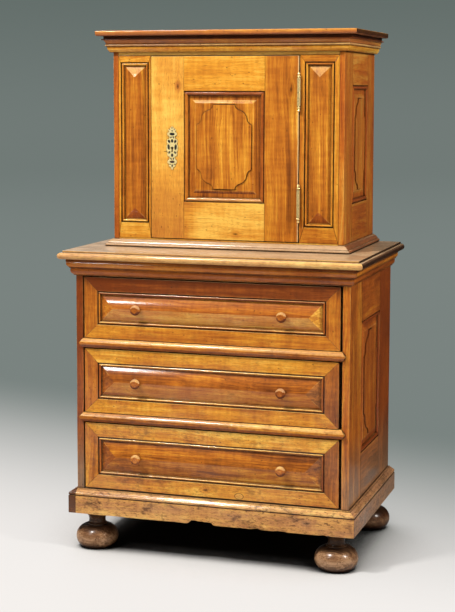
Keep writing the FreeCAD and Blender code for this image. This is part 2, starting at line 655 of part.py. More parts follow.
def make_hinges(axis_x, axis_y, door_edge, post_edge):
    """Barrel hinges. Gives the recesses that their leaves need in the door and in the pilaster."""
    barrel_low = turned(((HINGE_RADIUS, 0, 0), (0, HINGE_BARREL, 0)))
    door_cuts = []
    post_cuts = []
    for seam_height in (door_sill + HINGE_FROM_SILL, door_lintel - HINGE_FROM_LINTEL):
        seam = Vector(axis_x, axis_y, seam_height)
        pin_length = HINGE_BARREL - HINGE_PIN_SHORT
        pin = Part.makeCylinder(HINGE_PIN_RADIUS, pin_length + OVERRUN, seam - UP * OVERRUN)
        lower = barrel_low.copy()
        lower.translate(seam - UP * HINGE_BARREL)
        drop = turned(FINIAL).mirror(Vector(), UP)
        drop.translate(seam - UP * HINGE_BARREL)
        post_leaf = box(post_edge, post_edge + LEAF_THICKNESS, axis_y, cabinet_front + POST_LEAF_DEPTH,
                        seam.z - HINGE_BARREL, seam.z)
        add("hinge_pintles", fuse(lower, drop, post_leaf, pin))
        upper_foot = seam + UP * RUNNING_PLAY
        upper = barrel_low.copy()
        upper.translate(upper_foot)
        ball = turned(FINIAL)
        ball.translate(upper_foot + UP * HINGE_BARREL)
        door_leaf = box(door_edge - LEAF_THICKNESS, door_edge,
                        axis_y, cabinet_front - DOOR_PROUD + DOOR_LEAF_DEPTH,
                        upper_foot.z, upper_foot.z + HINGE_BARREL)
        bore = Part.makeCylinder(HINGE_PIN_RADIUS + PIN_PLAY, pin_length + PIN_PLAY, upper_foot)
        add("hinge_knuckles", fuse(upper, ball, door_leaf).cut(bore))
        door_cuts.append(grown(door_leaf))
        post_cuts.append(grown(post_leaf))
    return Part.makeCompound(door_cuts), Part.makeCompound(post_cuts)


def grown(leaf):
    """Recess for a leaf, a fit larger all round."""
    edge = leaf.BoundBox
    return box(edge.XMin - FIT, edge.XMax + FIT, edge.YMin, edge.YMax + FIT, edge.ZMin - FIT, edge.ZMax + FIT)


def make_door():
    post_edge = cabinet_inside - PILASTER_RIGHT_WIDTH
    x0 = -cabinet_inside + PILASTER_LEFT_WIDTH + DOOR_LATCH_PLAY
    x1 = post_edge - DOOR_HINGE_PLAY
    face = cabinet_front - DOOR_PROUD
    axis_y = face - HINGE_STAND_OFF - HINGE_RADIUS
    door_cuts, post_cuts = make_hinges((x1 + post_edge) / 2, axis_y, x1, post_edge)
    make_pilasters(post_cuts)
    outer = Rect(x0, door_sill + DOOR_END_PLAY, x1, door_lintel - DOOR_END_PLAY)
    inner = Rect(x0 + DOOR_STILE, outer.y0 + DOOR_BOTTOM_RAIL, x1 - DOOR_STILE, outer.y1 - DOOR_TOP_RAIL)
    key = Vector(x0 + KEYHOLE_FROM_EDGE, face, (door_sill + door_lintel) / 2 - KEYHOLE_BELOW_MIDDLE)
    door_back = face + DOOR_THICKNESS
    lock_width, lock_depth, lock_height = LOCK_SIZE
    lock_back = door_back + lock_depth
    through = keyhole(key, face - ESCUTCHEON_THICKNESS - OVERRUN, lock_back + OVERRUN)
    members = [on_front(member, face).cut(door_cuts).cut(through)
               for member in frame_members(outer, inner, None, DOOR_THICKNESS, False)]
    add("door_frame", *members)
    ring_width = -total(BROAD_EDGE, 0)
    add("door_panel", on_front(fielded_panel(inner, shrink(inner, ring_width), DOOR_CARTOUCHE_CORNER), face))
    planted = ring(edge_profile(BROAD_EDGE, PLATE_FACE, DOOR_MOULDING_PROUD), inner)
    add("door_panel_moulding", *[on_front(piece, face) for piece in planted])
    make_escutcheon(key, face, through)
    bolt_length, bolt_depth, bolt_height = BOLT_SIZE
    bolt_y = door_back + (lock_depth - bolt_depth) / 2
    lock = box(x0, x0 + lock_width, door_back, lock_back, key.z - lock_height / 2, key.z + lock_height / 2)
    bolt_z = key.z + bolt_height
    bolt = box(x0, x0 + bolt_length, bolt_y, bolt_y + bolt_depth,
               bolt_z - bolt_height / 2, bolt_z + bolt_height / 2)
    room = bolt.BoundBox
    channel = box(x0 - OVERRUN, room.XMax + RUNNING_PLAY, room.YMin - RUNNING_PLAY, room.YMax + RUNNING_PLAY,
                  room.ZMin - RUNNING_PLAY, room.ZMax + RUNNING_PLAY)
    add("lock_case", lock.cut(channel).cut(through))
    add("lock_bolt", bolt)


def make_escutcheon(key, face, through):
    """Key plate pointed at both ends, on the face of the door."""
    width, height = ESCUTCHEON_SIZE
    tips = [Vector(0, height / 2, 0), Vector(0, -height / 2, 0)]
    leaf = Part.Face(outline([(tips[0], width / 2), (tips[1], width / 2)]))
    plate = leaf.extrude(UP * ESCUTCHEON_THICKNESS)
    plate.translate(Vector(key.x, key.z, 0))
    add("escutcheon", on_front(plate, face).cut(through))


make_feet()
make_chest()
make_drawer("drawer_lower", drawer_floor, LOWER_OPENING_HEIGHT,
            LOWER_DRAWER_RIGHT_PLAY, DRAWER_TOP_PLAY, LOWER_DRAWER_FRONT_GAP)
make_drawer("drawer_middle", lower_divider + DIVIDER_HEIGHT, MIDDLE_OPENING_HEIGHT,
            MIDDLE_DRAWER_RIGHT_PLAY, DRAWER_TOP_PLAY, DRAWER_FRONT_GAP)
make_drawer("drawer_upper", upper_divider + DIVIDER_HEIGHT, UPPER_OPENING_HEIGHT,
            UPPER_DRAWER_RIGHT_PLAY, UPPER_DRAWER_TOP_PLAY, DRAWER_FRONT_GAP)
make_cabinet()
make_door()

os.makedirs("parts", exist_ok=True)
for name, solids in parts.items():
    shape = solids[0] if len(solids) == 1 else Part.makeCompound(solids)
    shape.exportStep("parts/" + name + ".step")
    print(name, len(solids), "valid" if shape.isValid() else "NOT VALID")
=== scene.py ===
"""Looks of an old waxed walnut cabinet standing on a chest of three drawers, in metres."""

import json
import math
import random

import bmesh
import bpy
import numpy as np
from mathutils import Euler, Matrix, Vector, noise
from mathutils.bvhtree import BVHTree


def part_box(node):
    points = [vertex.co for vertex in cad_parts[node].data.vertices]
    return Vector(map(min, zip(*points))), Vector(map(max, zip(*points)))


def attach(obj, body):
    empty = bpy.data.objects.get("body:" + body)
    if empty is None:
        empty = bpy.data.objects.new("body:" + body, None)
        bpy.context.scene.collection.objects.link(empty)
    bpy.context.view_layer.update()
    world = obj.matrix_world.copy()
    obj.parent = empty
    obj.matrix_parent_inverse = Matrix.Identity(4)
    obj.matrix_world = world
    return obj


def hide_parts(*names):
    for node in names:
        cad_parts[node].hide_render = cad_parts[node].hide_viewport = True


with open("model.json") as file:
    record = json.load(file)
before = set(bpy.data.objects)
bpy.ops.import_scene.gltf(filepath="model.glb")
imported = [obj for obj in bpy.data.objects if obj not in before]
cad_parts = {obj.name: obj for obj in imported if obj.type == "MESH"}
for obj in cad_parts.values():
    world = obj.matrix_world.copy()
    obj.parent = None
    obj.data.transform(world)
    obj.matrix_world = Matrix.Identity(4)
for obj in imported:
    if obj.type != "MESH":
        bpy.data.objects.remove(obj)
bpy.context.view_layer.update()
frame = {"nodes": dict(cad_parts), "record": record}

MM = 0.001

# Camera, fitted to the photograph
PHOTO_HEIGHT = 612
FOCAL_PIXELS = 1515.9
SHIFT_PIXELS = 70
CAMERA_PLACE = (1.5269, -4.8965, 1.5330)
CAMERA_YAW = 17.644
CAMERA_PITCH = -5.437
CAMERA_ROLL = 0.118
SENSOR = 36.0

# Worn boards
FLAT_ANGLE = math.radians(0.5)
SMOOTH_ANGLE = math.radians(35)
HIP_SMOOTH_ANGLE = math.radians(5)
SOFTENED_ANGLES = (math.radians(24), math.radians(104))
EDGE_PROFILE = 0.6
FACE_SHARE = 0.3
EDGE_LIFT = 0.25 * MM
HIDDEN_REACH = 1.2 * MM
JOINT_DEPTH = 0.4 * MM
JOINT_REACH = 1.5 * MM
SEAM_WIDTH = 1.3 * MM
SEAM_REACH = 0.05 * MM
OPEN_SEAM = 3.5 * MM
CARVED_ANGLE = math.radians(60)
MITRE_SEAM = 0.4
SHORTEST_BOARD = 50 * MM
SMALLEST_END = 20 * MM * MM
CUT_PITCH = 55 * MM
SWAY = 0.9 * MM
SWAY_LENGTH = 0.28
SWAY_SEED = 3
GRAIN_SHIFT = 4.0
GRAIN_SEED = 41
TONE_SPREAD = 0.12

# Hipped panels, the plinth's broken edge and the door's edge strip that is painted as a highlight
HIP_RINGS = 9
HIP_SWELL = 0.5
PLINTH_END = -0.464
BITES = (-0.075, 0.47)
BITE_PITCH = 5 * MM
NOTCH = (-0.066, 0.022)
NOTCH_SLOPE = 9 * MM
NOTCH_DEPTH = 11 * MM
CHIP_DEPTH = 6 * MM
CHIP_LENGTH = 30 * MM
SPLINTER_LENGTH = 9 * MM
DOOR_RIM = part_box("door_frame")[1][0] - 3.5 * MM

# Key plate, in mm from its keyhole: half of its outline from the upper tip down the right side, then its
# holes as (x, z, half width, half height, lean), each with its mirror image
PLATE_CENTRE = (-190, -111, 1345)
PLATE_THICKNESS = 2.2 * MM
PLATE_ROUNDING = 0.4 * MM
SHEET_THICKNESS = 0.7 * MM
SHEET_SHARE = 0.93
HOLE_POINTS = 8
PLATE_OUTLINE = [
    (0, 72), (2.0, 63), (6, 68), (6.2, 60), (12.5, 62), (10, 53.5), (15, 51), (16, 44), (11.5, 40.5),
    (8.5, 36), (11, 31), (16, 28), (18.5, 21), (16, 14), (19, 9), (19, 0), (18.5, -9), (15.5, -14),
    (17, -20), (14.5, -26.5), (9.5, -29), (8.5, -34), (11.5, -39), (15.5, -43), (15, -50.5), (10.5, -53),
    (11, -60), (5, -63), (0, -72),
]
PLATE_HOLES = [
    (0, 46.5, 9.4, 5.4, 0), (0, 57.5, 2.4, 3.6, 0), (4.0, 35.8, 2.8, 4.6, 20), (0, 23.8, 4.6, 6.4, 0),
    (10.8, 21.8, 4.7, 6.2, -25), (12.2, 3, 4.6, 9.8, -8), (10.2, -15, 3.5, 5.2, 30),
    (0, -24, 4.5, 6.2, 0), (4.2, -36.2, 2.7, 4.4, -25), (0, -46.2, 9.4, 4.8, 0),
    (7.4, -55, 2.2, 2.8, 30), (0, -58.5, 3.0, 5.0, 0),
]
KEYHOLE = [(5, 0), (3.6, -3.6), (2.6, -6), (2.6, -13.5), (-2.6, -13.5), (-2.6, -6), (-3.6, -3.6), (-5, 0),
           (-3.6, 3.6), (0, 5), (3.6, 3.6)]

# Nails of the back boards
NAIL_INPUTS = (
    ("Width", "Float"), ("Height", "Float"), ("Rows", "Int"), ("Centre", "Vector"),
    ("Radius", "Float"), ("Top Radius", "Float"), ("Depth", "Float"),
)
NAIL_RADIUS = 4.5 * MM
NAIL_TOP_RADIUS = 2.5 * MM
NAIL_DEPTH = 1.6 * MM
NAIL_SIDES = 7
NAIL_LEAN = 0.12
NAIL_SEED = 5
NAIL_INSET = 12 * MM
BACK_BOARDS = 4

# Studio, in metres
FLOOR_RADIUS = 30.0
FLOOR_WAY_BACK = (0.25, 0.97)
FLOOR_FADE = (-0.5, 1.9)
FLOOR_RIM = (2.4, 5.0)
FLOOR_SHADE_REACH = 0.45
FLOOR_SHADE_SAMPLES = 16
FLOOR_SHADOW = (0.02, 0.02, 0.02, 1)
FLOOR_PALE = (0.54, 0.53, 0.52, 1)
FLOOR_SEEN = (0.90, 0.87, 0.845, 1)
FLOOR_EVENED = 0.75
BACKDROP_REACH = (6.0, 26.0)
BACKGROUND_LOW = (0.195, 0.228, 0.216, 1)
BACKGROUND = (0.165, 0.196, 0.184, 1)
BACKGROUND_HIGH = (0.118, 0.148, 0.137, 1)
MIRROR_DIMMED = 0.7
NO_LIGHT = (0, 0, 0, 1)
SKY_LOW = (0.02, 0.02, 0.02, 1)
SKY_HIGH = (0.25, 0.25, 0.25, 1)
FLAG = ((0.44, 1.0), (2.2, 1.6), 2.6)
FLAG_CLOTH = (0.012, 0.012, 0.012, 1)
AIM = (0, -0.3, 0.9)
WARM_LAMP = (1.0, 0.98, 0.95)
WARMER_LAMP = (1.0, 0.97, 0.92)

# Colours in the walnut beside its own ramp
RED_BROWN = (0.37, 0.072, 0.013, 1)
BLEACHED_AND_SHEEN = (0.50, 0.36, 0.21, 1)
BLOTCHED = (0.085, 0.034, 0.014, 1)
PITTED = (0.060, 0.022, 0.009, 1)
GRIME_AND_SHADE = (0.022, 0.007, 0.003, 1)
LET_IN = (0.62, 0.36, 0.10, 1)
PORES = (0.060, 0.018, 0.006, 1)
FLECKED = (0.055, 0.018, 0.007, 1)
RUBBED = (0.80, 0.46, 0.13, 1)
WORM_HOLE = (0.012, 0.005, 0.003, 1)


class Shade:
    """A socket of a shader tree. Sums and products with it add their Math nodes."""

    def __init__(self, tree, socket):
        self.tree = tree
        self.socket = socket

    def add(self, kind, sockets=None, out=0, stops=None, **settings):
        """A node of this kind: its settings first, then the values or links of its sockets."""
        node = self.tree.nodes.new("ShaderNode" + kind)
        for name, value in settings.items():
            setattr(node, name, value)
        if stops:
            set_stops(node.color_ramp, stops)
        for key, value in (sockets or {}).items():
            if isinstance(value, Shade):
                self.tree.links.new(value.socket, node.inputs[key])
            else:
                node.inputs[key].default_value = value
        return Shade(self.tree, node.outputs[out] if node.outputs else None)

    def maths(self, operation, *values):
        return self.add("Math", dict(enumerate(values)), operation=operation)

    def __add__(self, other):
        return self.maths("ADD", self, other)

    def __sub__(self, other):
        return self.maths("SUBTRACT", self, other)

    def __rsub__(self, other):
        return self.maths("SUBTRACT", other, self)

    def __mul__(self, other):
        return self.maths("MULTIPLY", self, other)

    __radd__ = __add__
    __rmul__ = __mul__

    def rise(self, low, high):
        """0 below low and 1 above high, with a soft step between them."""
        span = {"Value": self, "From Min": low, "From Max": high}
        return self.add("MapRange", span, interpolation_type="SMOOTHSTEP")

    def fall(self, low, high):
        return 1 - self.rise(low, high)

    def part(self, axis):
        return self.add("SeparateXYZ", {0: self}, out=axis)

    def stretched(self, x, y, z):
        return self.add("VectorMath", {0: self, 1: (x, y, z)}, operation="MULTIPLY")

    def moved(self, other):
        return self.add("VectorMath", {0: self, 1: other}, operation="ADD")

    def noise(self, scale, detail=2.0, roughness=0.5):
        sockets = {"Vector": self, "Scale": scale, "Detail": detail, "Roughness": roughness}
        return self.add("TexNoise", sockets)

    def cells(self, scale, out):
        return self.add("TexVoronoi", {"Vector": self, "Scale": scale}, out=out)

    def mix(self, first, second):
        """The first colour where this value is 0 and the second where it is 1."""
        return self.add("Mix", {0: self, 6: first, 7: second}, out=2, data_type="RGBA")

    def ramp(self, *stops):
        return self.add("ValToRGB", {0: self}, stops=stops)


def set_stops(ramp, stops):
    """Gives a ramp these (place, colour) stops."""
    while len(ramp.elements) < len(stops):
        ramp.elements.new(0.5)
    for element, (place, colour) in zip(ramp.elements, stops):
        element.position = place
        element.color = (*colour, 1)


def new_material(name):
    """An empty material, as (material, shade) with the shade to start its tree from."""
    material = bpy.data.materials.new(name)
    material.use_nodes = True
    material.node_tree.nodes.clear()
    return material, Shade(material.node_tree, None)


def surface(material, shade, height, bump, **sockets):
    """Ends a material in a Principled surface, with a bump of this height in mm."""
    values = {name.replace("_", " "): value for name, value in sockets.items()}
    values["Normal"] = shade.add("Bump", {"Height": height, "Strength": bump, "Distance": MM})
    body = shade.add("BsdfPrincipled", values)
    shade.add("OutputMaterial", {"Surface": body})
    return material


def attribute(shade, name, out="Vector"):
    return shade.add("Attribute", out=out, attribute_name=name)


def length_of(vector):
    return vector.add("VectorMath", {0: vector}, out="Value", operation="LENGTH")


def crevice(shade, reach, samples=6):
    """1 where a surface is open and 0 deep in a corner."""
    return shade.add("AmbientOcclusion", {"Distance": reach}, out="AO", samples=samples)


def worm_holes(plank, scale, share, radius, more=0.0):
    """1 inside the small round holes that are strewn in clusters, and more of them where asked."""
    distance = plank.cells(scale, "Distance")
    pick = plank.cells(scale, "Color").part(0)
    cluster = plank.noise(9.0, 1.0).rise(0.42, 0.62)
    chosen = (pick + 0.12 * cluster + more).rise(1 - share, 1.02 - share)
    return distance.fall(0.7 * radius, 1.2 * radius) * chosen


def walnut(name, stops, gloss, worms, wax, polish):
    """Waxed walnut: streaks, rings and pores along each board, knots, worm holes, grime and painted shade
    in its corners, painted sheen and highlights from its tones, pale edges.
    """
    material, shade = new_material(name)
    plank = attribute(shade, "plank")
    tone = attribute(shade, "tone")
    age = attribute(shade, "age")
    figure = age.part(0)
    decay = age.part(1)
    worn = attribute(shade, "worn", "Fac")
    seam = attribute(shade, "seam", "Fac")
    open_air = crevice(shade, 22 * MM)
    corner = crevice(shade, 6 * MM)

    knot = attribute(shade, "knot")
    knot_reach = length_of(knot.stretched(0.45, 1, 1))
    around = knot_reach.fall(0.0, 22 * MM) * -0.9
    pushed = shade.add("CombineXYZ", {1: knot.part(1) * around, 2: knot.part(2) * around})

    bend = plank.stretched(2.2, 7, 7).noise(1.0, 2.0)
    lean = shade.add("CombineXYZ", {1: (bend - 0.5) * 0.05, 2: (bend - 0.5) * 0.03})
    grain = plank.moved(lean).moved(pushed)
    broad = grain.stretched(1.1, 17, 17).noise(1.0, 3.0, 0.55)
    streak = grain.stretched(2.5, 70, 70).noise(1.0, 3.0, 0.6)
    fine = grain.stretched(9, 330, 330).noise(1.0, 2.0, 0.6)
    pores = grain.stretched(42, 1500, 1500).noise(1.0, 1.0)
    curl = grain.stretched(85, 14, 14).noise(1.0, 1.0, 0.4)
    mottle = plank.noise(26.0, 3.0, 0.6)
    ring_radius = (grain.part(1) * 0.8 + grain.part(2) * 0.6) * 130 + broad * 3
    ring = ring_radius.maths("SINE", ring_radius * math.tau) * 0.5 + 0.5

    cloud = plank.stretched(4, 9, 9).noise(1.0, 3.0, 0.5)
    depth = (broad - 0.5) * 1.2 + (streak - 0.5) * 1.4 + (fine - 0.5) * 0.8 + (ring - 0.5) * 0.10
    place = 0.5 + depth * figure + tone.part(0) * 0.24 + (curl - 0.5) * 0.2
    place = place + (cloud - 0.5) * 0.5 + (mottle - 0.5) * (0.16 + 0.5 * decay)
    place = place - knot_reach.fall(4 * MM, 14 * MM) * 0.22
    colour = place.ramp(*stops)

    red = tone.part(1).rise(0.0, 1.0) * 0.6
    colour = red.mix(colour, RED_BROWN)
    # The faded tone mixes in a pale colour: bleaching, and on many boards painted sheen and highlights.
    faded_and_sheen = tone.part(2) * (0.55 + 0.5 * mottle)
    colour = faded_and_sheen.mix(colour, BLEACHED_AND_SHEEN)
    blotch = plank.stretched(0.6, 1, 1).noise(34.0, 4.0, 0.7).rise(0.52, 0.68) * decay
    colour = (blotch * 0.75).mix(colour, BLOTCHED)
    pitted = plank.noise(14.0, 2.0).rise(0.38, 0.62)
    pits = plank.stretched(0.35, 1, 1).noise(150.0, 3.0, 0.75).rise(0.51, 0.63)
    pits = pits * decay * (0.45 + 0.55 * pitted)
    colour = (pits * 0.8).mix(colour, PITTED)

    knot_ring = knot_reach.maths("SINE", knot_reach * 2600.0) * 0.2 + 0.8
    colour = (knot_reach.fall(1.5 * MM, 5 * MM) * knot_ring * 0.85).mix(colour, GRIME_AND_SHADE)
    patch = length_of(attribute(shade, "patch"))
    colour = (patch.fall(0.90, 0.96) * 0.35).mix(colour, LET_IN)
    patch_line = patch.rise(0.86, 0.94) * patch.fall(1.0, 1.1)
    colour = (patch_line * 0.9).mix(colour, GRIME_AND_SHADE)

    pore_line = pores.fall(0.30, 0.42)
    colour = (pore_line * 0.55).mix(colour, PORES)
    flecks = worm_holes(plank.stretched(0.55, 1, 1), 95.0, 0.06, 0.16)
    colour = (flecks * 0.7).mix(colour, FLECKED)
    # Corners and recesses are darkened from ambient occlusion: grime, and also painted shade, with
    # painted shade lines in narrow quirks.
    grime_and_shade = open_air.fall(0.25, 0.80) * (0.3 + 0.7 * mottle)
    corner_shade_line = corner.fall(0.48, 0.94)
    grime_and_shade = grime_and_shade.maths("MAXIMUM", grime_and_shade, corner_shade_line * 0.95) * (1 - age.part(2))
    colour = grime_and_shade.mix(colour, GRIME_AND_SHADE)
    colour = (seam * 0.9).mix(colour, GRIME_AND_SHADE)
    rubbed = worn * mottle.rise(0.30, 0.62)
    colour = (rubbed * 0.5).mix(colour, RUBBED)
    holes = worm_holes(plank, 62.0, worms, 0.085, decay * 0.12)
    colour = holes.mix(colour, WORM_HOLE)

    dull = plank.noise(11.0, 3.0, 0.65)
    kept = plank.stretched(0.5, 1, 1).noise(9.0, 2.0).rise(0.40, 0.60)
    roughness = gloss + (dull - 0.5) * 0.18 + pore_line * 0.12 + grime_and_shade * 0.25 + holes * 0.4 + pits * 0.2
    height = fine * 0.05 - pore_line * 0.10 + curl * 0.10 + dull * 0.9 + mottle * 0.35
    height = height - holes * 0.9 - seam * 0.2 - pits * 0.5
    return surface(material, shade, height, 0.55, Base_Color=colour, Roughness=roughness,
                   Specular_IOR_Level=0.08, Coat_Weight=wax * (0.25 + 0.75 * kept), Coat_Roughness=polish)


def softwood(name):
    """Old bare softwood of the linings: pale straight grain, browned and dusty, with painted shade in its
    corners.
    """
    material, shade = new_material(name)
    plank = attribute(shade, "plank")
    tone = attribute(shade, "tone")
    seam = attribute(shade, "seam", "Fac")
    open_air = crevice(shade, 25 * MM)
    bend = plank.stretched(1.5, 6, 6).noise(1.0, 2.0)
    lean = shade.add("CombineXYZ", {1: (bend - 0.5) * 0.06, 2: (bend - 0.5) * 0.04})
    grain = plank.moved(lean)
    ring_radius = (grain.part(1) + grain.part(2) * 0.7) * 150
    ring = ring_radius.maths("SINE", ring_radius * math.tau) * 0.5 + 0.5
    fine = grain.stretched(12, 420, 420).noise(1.0, 2.0, 0.6)
    stain = plank.noise(5.5, 4.0, 0.6)
    place = 0.5 + (ring - 0.5) * 0.32 + (fine - 0.5) * 0.45 + tone.part(0) * 0.2 + (stain - 0.5) * 0.5
    colour = place.ramp(
        (0.0, (0.110, 0.055, 0.024)),
        (0.4, (0.250, 0.140, 0.063)),
        (0.7, (0.370, 0.228, 0.112)),
        (1.0, (0.480, 0.325, 0.180)),
    )
    # Corners are darkened from ambient occlusion: dust, and also painted shade.
    grime_and_shade = open_air.fall(0.25, 0.9)
    colour = (grime_and_shade * 0.6).mix(colour, (0.050, 0.025, 0.013, 1))
    colour = (seam * 0.7).mix(colour, (0.035, 0.017, 0.009, 1))
    holes = worm_holes(plank, 62.0, 0.04, 0.075)
    colour = holes.mix(colour, (0.015, 0.007, 0.004, 1))
    roughness = 0.74 + (fine - 0.5) * 0.2
    height = ring * 0.25 + fine * 0.35 + stain * 0.4 - holes
    return surface(material, shade, height, 0.5, Base_Color=colour, Roughness=roughness)


def brass(name, bright, brown, metallic, shine):
    """Old brass, rubbed bright where it stands proud and brown in its corners."""
    material, shade = new_material(name)
    place = shade.add("TexCoord", out="Object")
    open_air = crevice(shade, 5 * MM)
    blotch = place.noise(190.0, 4.0, 0.6)
    scratch = place.stretched(1, 1, 0.2).noise(900.0, 2.0)
    tarnish = open_air.fall(0.40, 0.95) * 0.8 + blotch.rise(0.50, 0.74) * 0.2
    colour = tarnish.mix((*bright, 1), (*brown, 1))
    roughness = shine + tarnish * 0.25 + (scratch - 0.5) * 0.16
    height = blotch * 0.5 + scratch * 0.15
    return surface(material, shade, height, 0.35, Base_Color=colour, Metallic=metallic,
                   Roughness=roughness)


def forged_iron(name):
    """Dark forged iron with a hammered face and rust in patches."""
    material, shade = new_material(name)
    place = shade.add("TexCoord", out="Object")
    hammer = place.cells(120.0, "Distance")
    patch = place.noise(60.0, 4.0, 0.65)
    rust = patch.rise(0.52, 0.68)
    colour = rust.mix((0.045, 0.041, 0.038, 1), (0.120, 0.048, 0.020, 1))
    roughness = 0.5 + rust * 0.3
    height = hammer * 0.8 + patch * 0.5
    return surface(material, shade, height, 0.5, Base_Color=colour, Metallic=1 - rust * 0.8,
                   Roughness=roughness)


HONEY = (
    (0.00, (0.055, 0.015, 0.004)),
    (0.25, (0.200, 0.056, 0.008)),
    (0.50, (0.420, 0.130, 0.013)),
    (0.75, (0.620, 0.262, 0.024)),
    (1.00, (0.820, 0.480, 0.080)),
)
UMBER = (
    (0.00, (0.022, 0.010, 0.005)),
    (0.40, (0.075, 0.036, 0.017)),
    (0.75, (0.210, 0.108, 0.050)),
    (1.00, (0.390, 0.230, 0.120)),
)
FINISHES = {
    "walnut": walnut("waxed_honey_walnut", HONEY, 0.32, 0.06, 0.65, 0.12),
    "dark_walnut": walnut("dark_polished_walnut", UMBER, 0.32, 0.04, 0.6, 0.22),
    "lining_softwood": softwood("old_bare_softwood"),
    "brass": brass("aged_brass", (0.98, 0.80, 0.36), (0.30, 0.17, 0.05), 0.6, 0.36),
    "wrought_iron": forged_iron("forged_iron"),
}
HINGE_FINISH = brass("browned_brass", (0.95, 0.74, 0.32), (0.055, 0.028, 0.010), 0.7, 0.28)


def solids_of(node):
    """Each solid of a CAD node as its triangles: a solid ends where every edge has its partner."""
    mesh = frame["nodes"][node].data
    places = [tuple(round(c, 6) for c in vertex.co) for vertex in mesh.vertices]
    solids, triangles, unmatched = [], [], set()
    for face in mesh.polygons:
        corners = [places[i] for i in face.vertices]
        triangles.append(corners)
        for start, end in zip(corners, corners[1:] + corners[:1]):
            if (end, start) in unmatched:
                unmatched.remove((end, start))
            elif start != end:
                unmatched.add((start, end))
        if not unmatched:
            solids.append(triangles)
            triangles = []
    return solids


def welded(triangles):
    """A solid's triangles as one closed mesh whose flat faces are whole."""
    shape = bmesh.new()
    corners = {}
    for triangle in triangles:
        for place in triangle:
            if place not in corners:
                corners[place] = shape.verts.new(place)
        if len(set(triangle)) == 3:
            shape.faces.new([corners[place] for place in triangle])
    shape.normal_update()
    bmesh.ops.dissolve_limit(shape, angle_limit=FLAT_ANGLE, use_dissolve_boundaries=False,
                             verts=shape.verts[:], edges=shape.edges[:], delimit=set())
    shape.normal_update()
    return shape


def cut(shape, place, normal):
    """Divides the faces of a shape along a plane."""
    geometry = shape.verts[:] + shape.edges[:] + shape.faces[:]
    bmesh.ops.bisect_plane(shape, geom=geometry, dist=1e-6, plane_co=place, plane_no=normal)


def grain_axis(triangles):
    """The axis that a board is longest along."""
    places = np.array(triangles).reshape(-1, 3)
    return int(np.argmax(places.max(0) - places.min(0)))


def end_faces(shape, axis):
    """(place, normal, darkness) of the faces that end a board: square or mitred across its grain."""
    length = max(v.co[axis] for v in shape.verts) - min(v.co[axis] for v in shape.verts)
    ends = []
    for face in shape.faces:
        across = abs(face.normal[axis])
        if across > 0.6 and face.calc_area() > SMALLEST_END and length > SHORTEST_BOARD:
            darkness = 1.0 if across > 0.9 else MITRE_SEAM
            ends.append((face.calc_center_median(), face.normal.copy(), darkness))
    return ends


noise.seed_set(SWAY_SEED)


def swayed(place):
    """How far the old case has moved at a place: a little along x and y, the same for all its boards."""
    drift = noise.noise_vector(place / SWAY_LENGTH)
    return Vector((drift.x, drift.y, 0)) * SWAY


def all_triangles():
    """A search tree of the whole CAD model."""
    places, faces = [], []
    for obj in frame["nodes"].values():
        start = len(places)
        places.extend(v.co.copy() for v in obj.data.vertices)
        faces.extend([start + i for i in p.vertices] for p in obj.data.polygons)
    return BVHTree.FromPolygons(places, faces)


TREE = all_triangles()


def edge_radius(edge, radius):
    """How far an edge is worn: nothing where it is inside a joint, and less beside narrow faces."""
    if len(edge.link_faces) != 2:
        return 0.0
    angle = edge.calc_face_angle_signed()
    if not SOFTENED_ANGLES[0] < angle < SOFTENED_ANGLES[1]:
        return 0.0
    first, second = edge.link_faces
    outward = (first.normal + second.normal).normalized()
    middle = (edge.verts[0].co + edge.verts[1].co) / 2 + outward * EDGE_LIFT
    if TREE.ray_cast(middle, outward, HIDDEN_REACH)[0] is not None:
        return 0.0
    width = min(face.calc_area() for face in edge.link_faces) / edge.calc_length()
    return min(radius, FACE_SHARE * width)


def is_joint(edge):
    """Whether another board lies close beside an edge, so that the edge is one side of a joint line."""
    middle = (edge.verts[0].co + edge.verts[1].co) / 2
    first, second = [face.normal for face in edge.link_faces]
    for toward, down in ((first, second), (second, first)):
        near = TREE.find_nearest_range(middle - down * JOINT_DEPTH, JOINT_REACH)
        if any(normal.dot(toward) < -0.9 for _, normal, _, _ in near):
            return True
    return False


def swollen(shape):
    """Rounds the slopes of a hipped panel, so that they fall steeper toward their foot."""
    levels = [v.co.y for v in shape.verts]
    ridge = min(levels)
    foot = max(y for y in levels if y < max(levels) - MM)
    rise = foot - ridge
    for step in range(1, HIP_RINGS):
        cut(shape, Vector((0, foot - rise * step / HIP_RINGS, 0)), Vector((0, 1, 0)))
    for vert in shape.verts:
        share = (foot - vert.co.y) / rise
        if 0 < share < 1:
            vert.co.y -= HIP_SWELL * rise * share * (1 - share)


def ragged(shape):
    """Breaks the lower edge of the plinth: one long notch, and small bites to the right of it."""
    foot = min(v.co.z for v in shape.verts)
    cut(shape, Vector((PLINTH_END, 0, 0)), Vector((1, 0, 0)))
    start, end = BITES
    for step in range(int((end - start) / BITE_PITCH)):
        cut(shape, Vector((start + step * BITE_PITCH, 0, 0)), Vector((1, 0, 0)))
    for vert in shape.verts:
        if vert.co.z < foot + MM:
            vert.co.z += bite(vert.co.x)


def rimmed(shape):
    """Parts off the strip along the door's edge beside the hinges."""
    cut(shape, Vector((DOOR_RIM, 0, 0)), Vector((1, 0, 0)))


def bite(x):
    """How much of the plinth's lower edge has broken away at a place along it."""
    chips = noise.noise(Vector((x / CHIP_LENGTH, 4.3, 0)))
    chips += 0.4 * noise.noise(Vector((x / SPLINTER_LENGTH, 1.7, 0)))
    left, right = NOTCH
    inside = min(x - left, right - x) / NOTCH_SLOPE
    notch = NOTCH_DEPTH * max(0.0, min(1.0, inside))
    return max(0.0, notch + chips * (CHIP_DEPTH if x > left else CHIP_DEPTH / 4))


